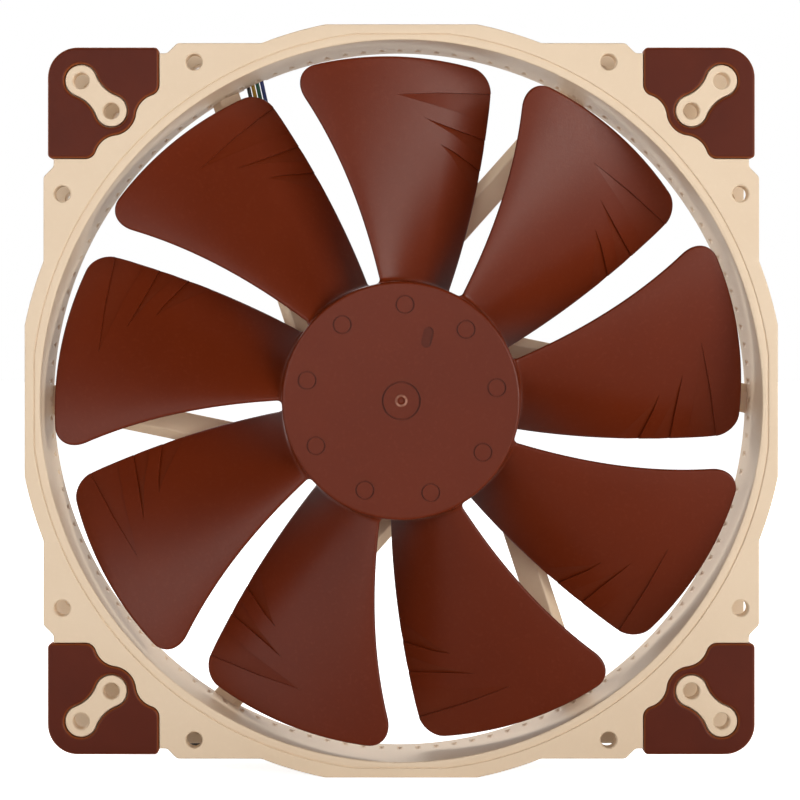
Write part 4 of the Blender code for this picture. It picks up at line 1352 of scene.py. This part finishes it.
# The pads' third colour is painted on their edges and sides as a glow of the light let through.
PAD = silicone("pad_silicone", (0.1, 0.0135, 0.0035), (0.085, 0.011, 0.003), (0.3, 0.078, 0.02))
STEEL = metal("drawn_steel", (0.56, 0.56, 0.57), (0.46, 0.46, 0.48), 0.3, (900, 60, 900))
BRASS = metal("turned_brass", (0.74, 0.55, 0.26), (0.62, 0.44, 0.19), 0.3, (120, 1600, 120))
WIRES = {
    "black": insulation("wire_black", (0.01, 0.01, 0.011), (0.018, 0.018, 0.019)),
    "yellow": insulation("wire_yellow", (0.62, 0.37, 0.012), (0.54, 0.31, 0.01)),
    "green": insulation("wire_green", (0.014, 0.15, 0.085), (0.011, 0.12, 0.065)),
    "blue": insulation("wire_blue", (0.016, 0.04, 0.24), (0.012, 0.03, 0.19)),
}
CAD_MATERIALS = {
    STEEL: ("rotor_cup", "shaft", "shaft_clip"),
    MAGNET: ("ring_magnet", "bearing_magnet"),
    BRASS: ("shaft_bush", "bearing_tube", "bearing_sleeve"),
    laminated(): ("stator_core",),
    NYLON: ("insulator_front", "insulator_rear", "thrust_pad"),
    wound_copper(): ("coil_1", "coil_2", "coil_3", "coil_4"),
    BLACK: ("oil_seal", "driver_chip", "hall_sensor"),
    solder_mask(): ("circuit_board",),
    CERAMIC: ("capacitor",),
}


def finished(piece, material, slot, body, *nodes):
    """Gives a piece its material and its body, and hides what it stands for. The slot argument is
    not used.
    """
    piece.data.materials.clear()
    piece.data.materials.append(material)
    for face in piece.data.polygons:
        face.material_index = 0
    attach(piece, body)
    if nodes:
        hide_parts(*nodes)


# Camera, and the cable with its connector.
camera = bpy.data.objects.new("camera", bpy.data.cameras.new("camera"))
link(camera)
camera.location = CAMERA_AT
camera.rotation_euler = (pi / 2, 0, 0)
camera.data.lens = CAMERA_LENS
camera.data.sensor_width = 36
camera.data.shift_x, camera.data.shift_y = CAMERA_SHIFT
camera.data.clip_start = 0.01
scene.camera = camera

path, sleeve, shrink, plug_leads, wires_begin = make_cable()
plug, contacts = make_plug(wires_begin)
finished(sleeve, sleeve_cloth(), "sleeving", "housing", "cable")
finished(shrink, BLACK, "black_plastic", "housing", "cable_shrink_tube")
finished(plug, BLACK, "black_plastic", "housing", "plug_housing")
finished(contacts, BRASS, "brass", "housing")
for colour, lead in plug_leads.items():
    finished(lead, WIRES[colour], f"{colour}_wire", "housing", f"plug_wire_{colour}")

finished(make_frame(), BEIGE, "beige_plastic", "housing", "frame")
for side, word in ((-1, "front"), (1, "rear")):
    for i, name in enumerate(PLACES):
        finished(make_pad(i, side), PAD, "brown_silicone", "housing", f"pad_{word}_{name}")
finished(make_impeller(), BROWN, "brown_plastic", "rotor", "impeller")
for colour, lead in make_leads().items():
    finished(lead, WIRES[colour], f"{colour}_wire", "housing", f"lead_{colour}")
finished(make_grommet(), BLACK, "black_plastic", "housing", "cable_grommet")
finished(make_label(), printed_label(), "label", "housing", "rear_label")
for material, names in CAD_MATERIALS.items():
    for name in names:
        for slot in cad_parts[name].material_slots:
            slot.material = material

# Floor, light and the pale surroundings.
corners = ((-9, -9), (9, -9), (9, 9), (-9, 9))
floor = mesh_object("floor", [(x, y, FLOOR_Z) for x, y in corners], [(0, 1, 2, 3)])
paper, tree, shader = new_material("pale_floor", 0.9, specular=0.2)
tint = blended(tree, noise(tree, place_on(tree), 60, 3), (0.86, 0.86, 0.86), (0.9, 0.9, 0.9))
tree.links.new(tint, shader.inputs["Base Color"])
glow = maths(tree, "MULTIPLY", node(tree, "LightPath").outputs["Is Camera Ray"], 0.85)
shader.inputs["Emission Color"].default_value = (1, 1, 1, 1)
tree.links.new(glow, shader.inputs["Emission Strength"])
floor.data.materials.append(paper)


def soft_light(name, place, size, power, colour=(1, 1, 1)):
    """A soft box, aimed at the fan."""
    light = bpy.data.lights.new(name, "AREA")
    light.shape = "RECTANGLE"
    light.size, light.size_y = size
    light.energy = power
    light.color = colour
    lamp = link(bpy.data.objects.new(name, light))
    lamp.location = place
    lamp.rotation_euler = (-Vector(place)).to_track_quat("-Z", "Y").to_euler()
    lamp.visible_camera = False


soft_light("key", (0.883, -0.883, 0.08), (0.75, 0.6), 10.6, (1, 0.96, 0.9))
soft_light("front", (0, -1.223, 0.26), (0.6, 0.5), 1.9)
soft_light("fill_left", (-0.62, -1.07, 0.17), (0.6, 0.5), 2.9, (1, 0.97, 0.93))
soft_light("side_left", (-1.07, -0.62, 0.17), (0.6, 0.5), 1.4)
soft_light("rear_top", (0, 0.884, 0.884), (0.6, 0.5), 6)
soft_light("rear_left", (-0.925, 0.776, 0.324), (0.6, 0.5), 4)

world = bpy.data.worlds.new("surroundings")
scene.world = world
world.use_nodes = True
sky = world.node_tree
sky.nodes.clear()
direction = node(sky, "SeparateXYZ", {0: node(sky, "TexCoord").outputs["Generated"]})
around = ranged(sky, direction.outputs[1], -0.1, 0.3, 0.02, 0.66)
seen = node(sky, "LightPath").outputs["Is Camera Ray"]
strength = maths(sky, "MAXIMUM", around, seen)
background = node(sky, "Background", {"Color": (1, 1, 1, 1), "Strength": strength})
node(sky, "OutputWorld", {"Surface": background.outputs[0]})

scene.view_settings.view_transform = "Standard"
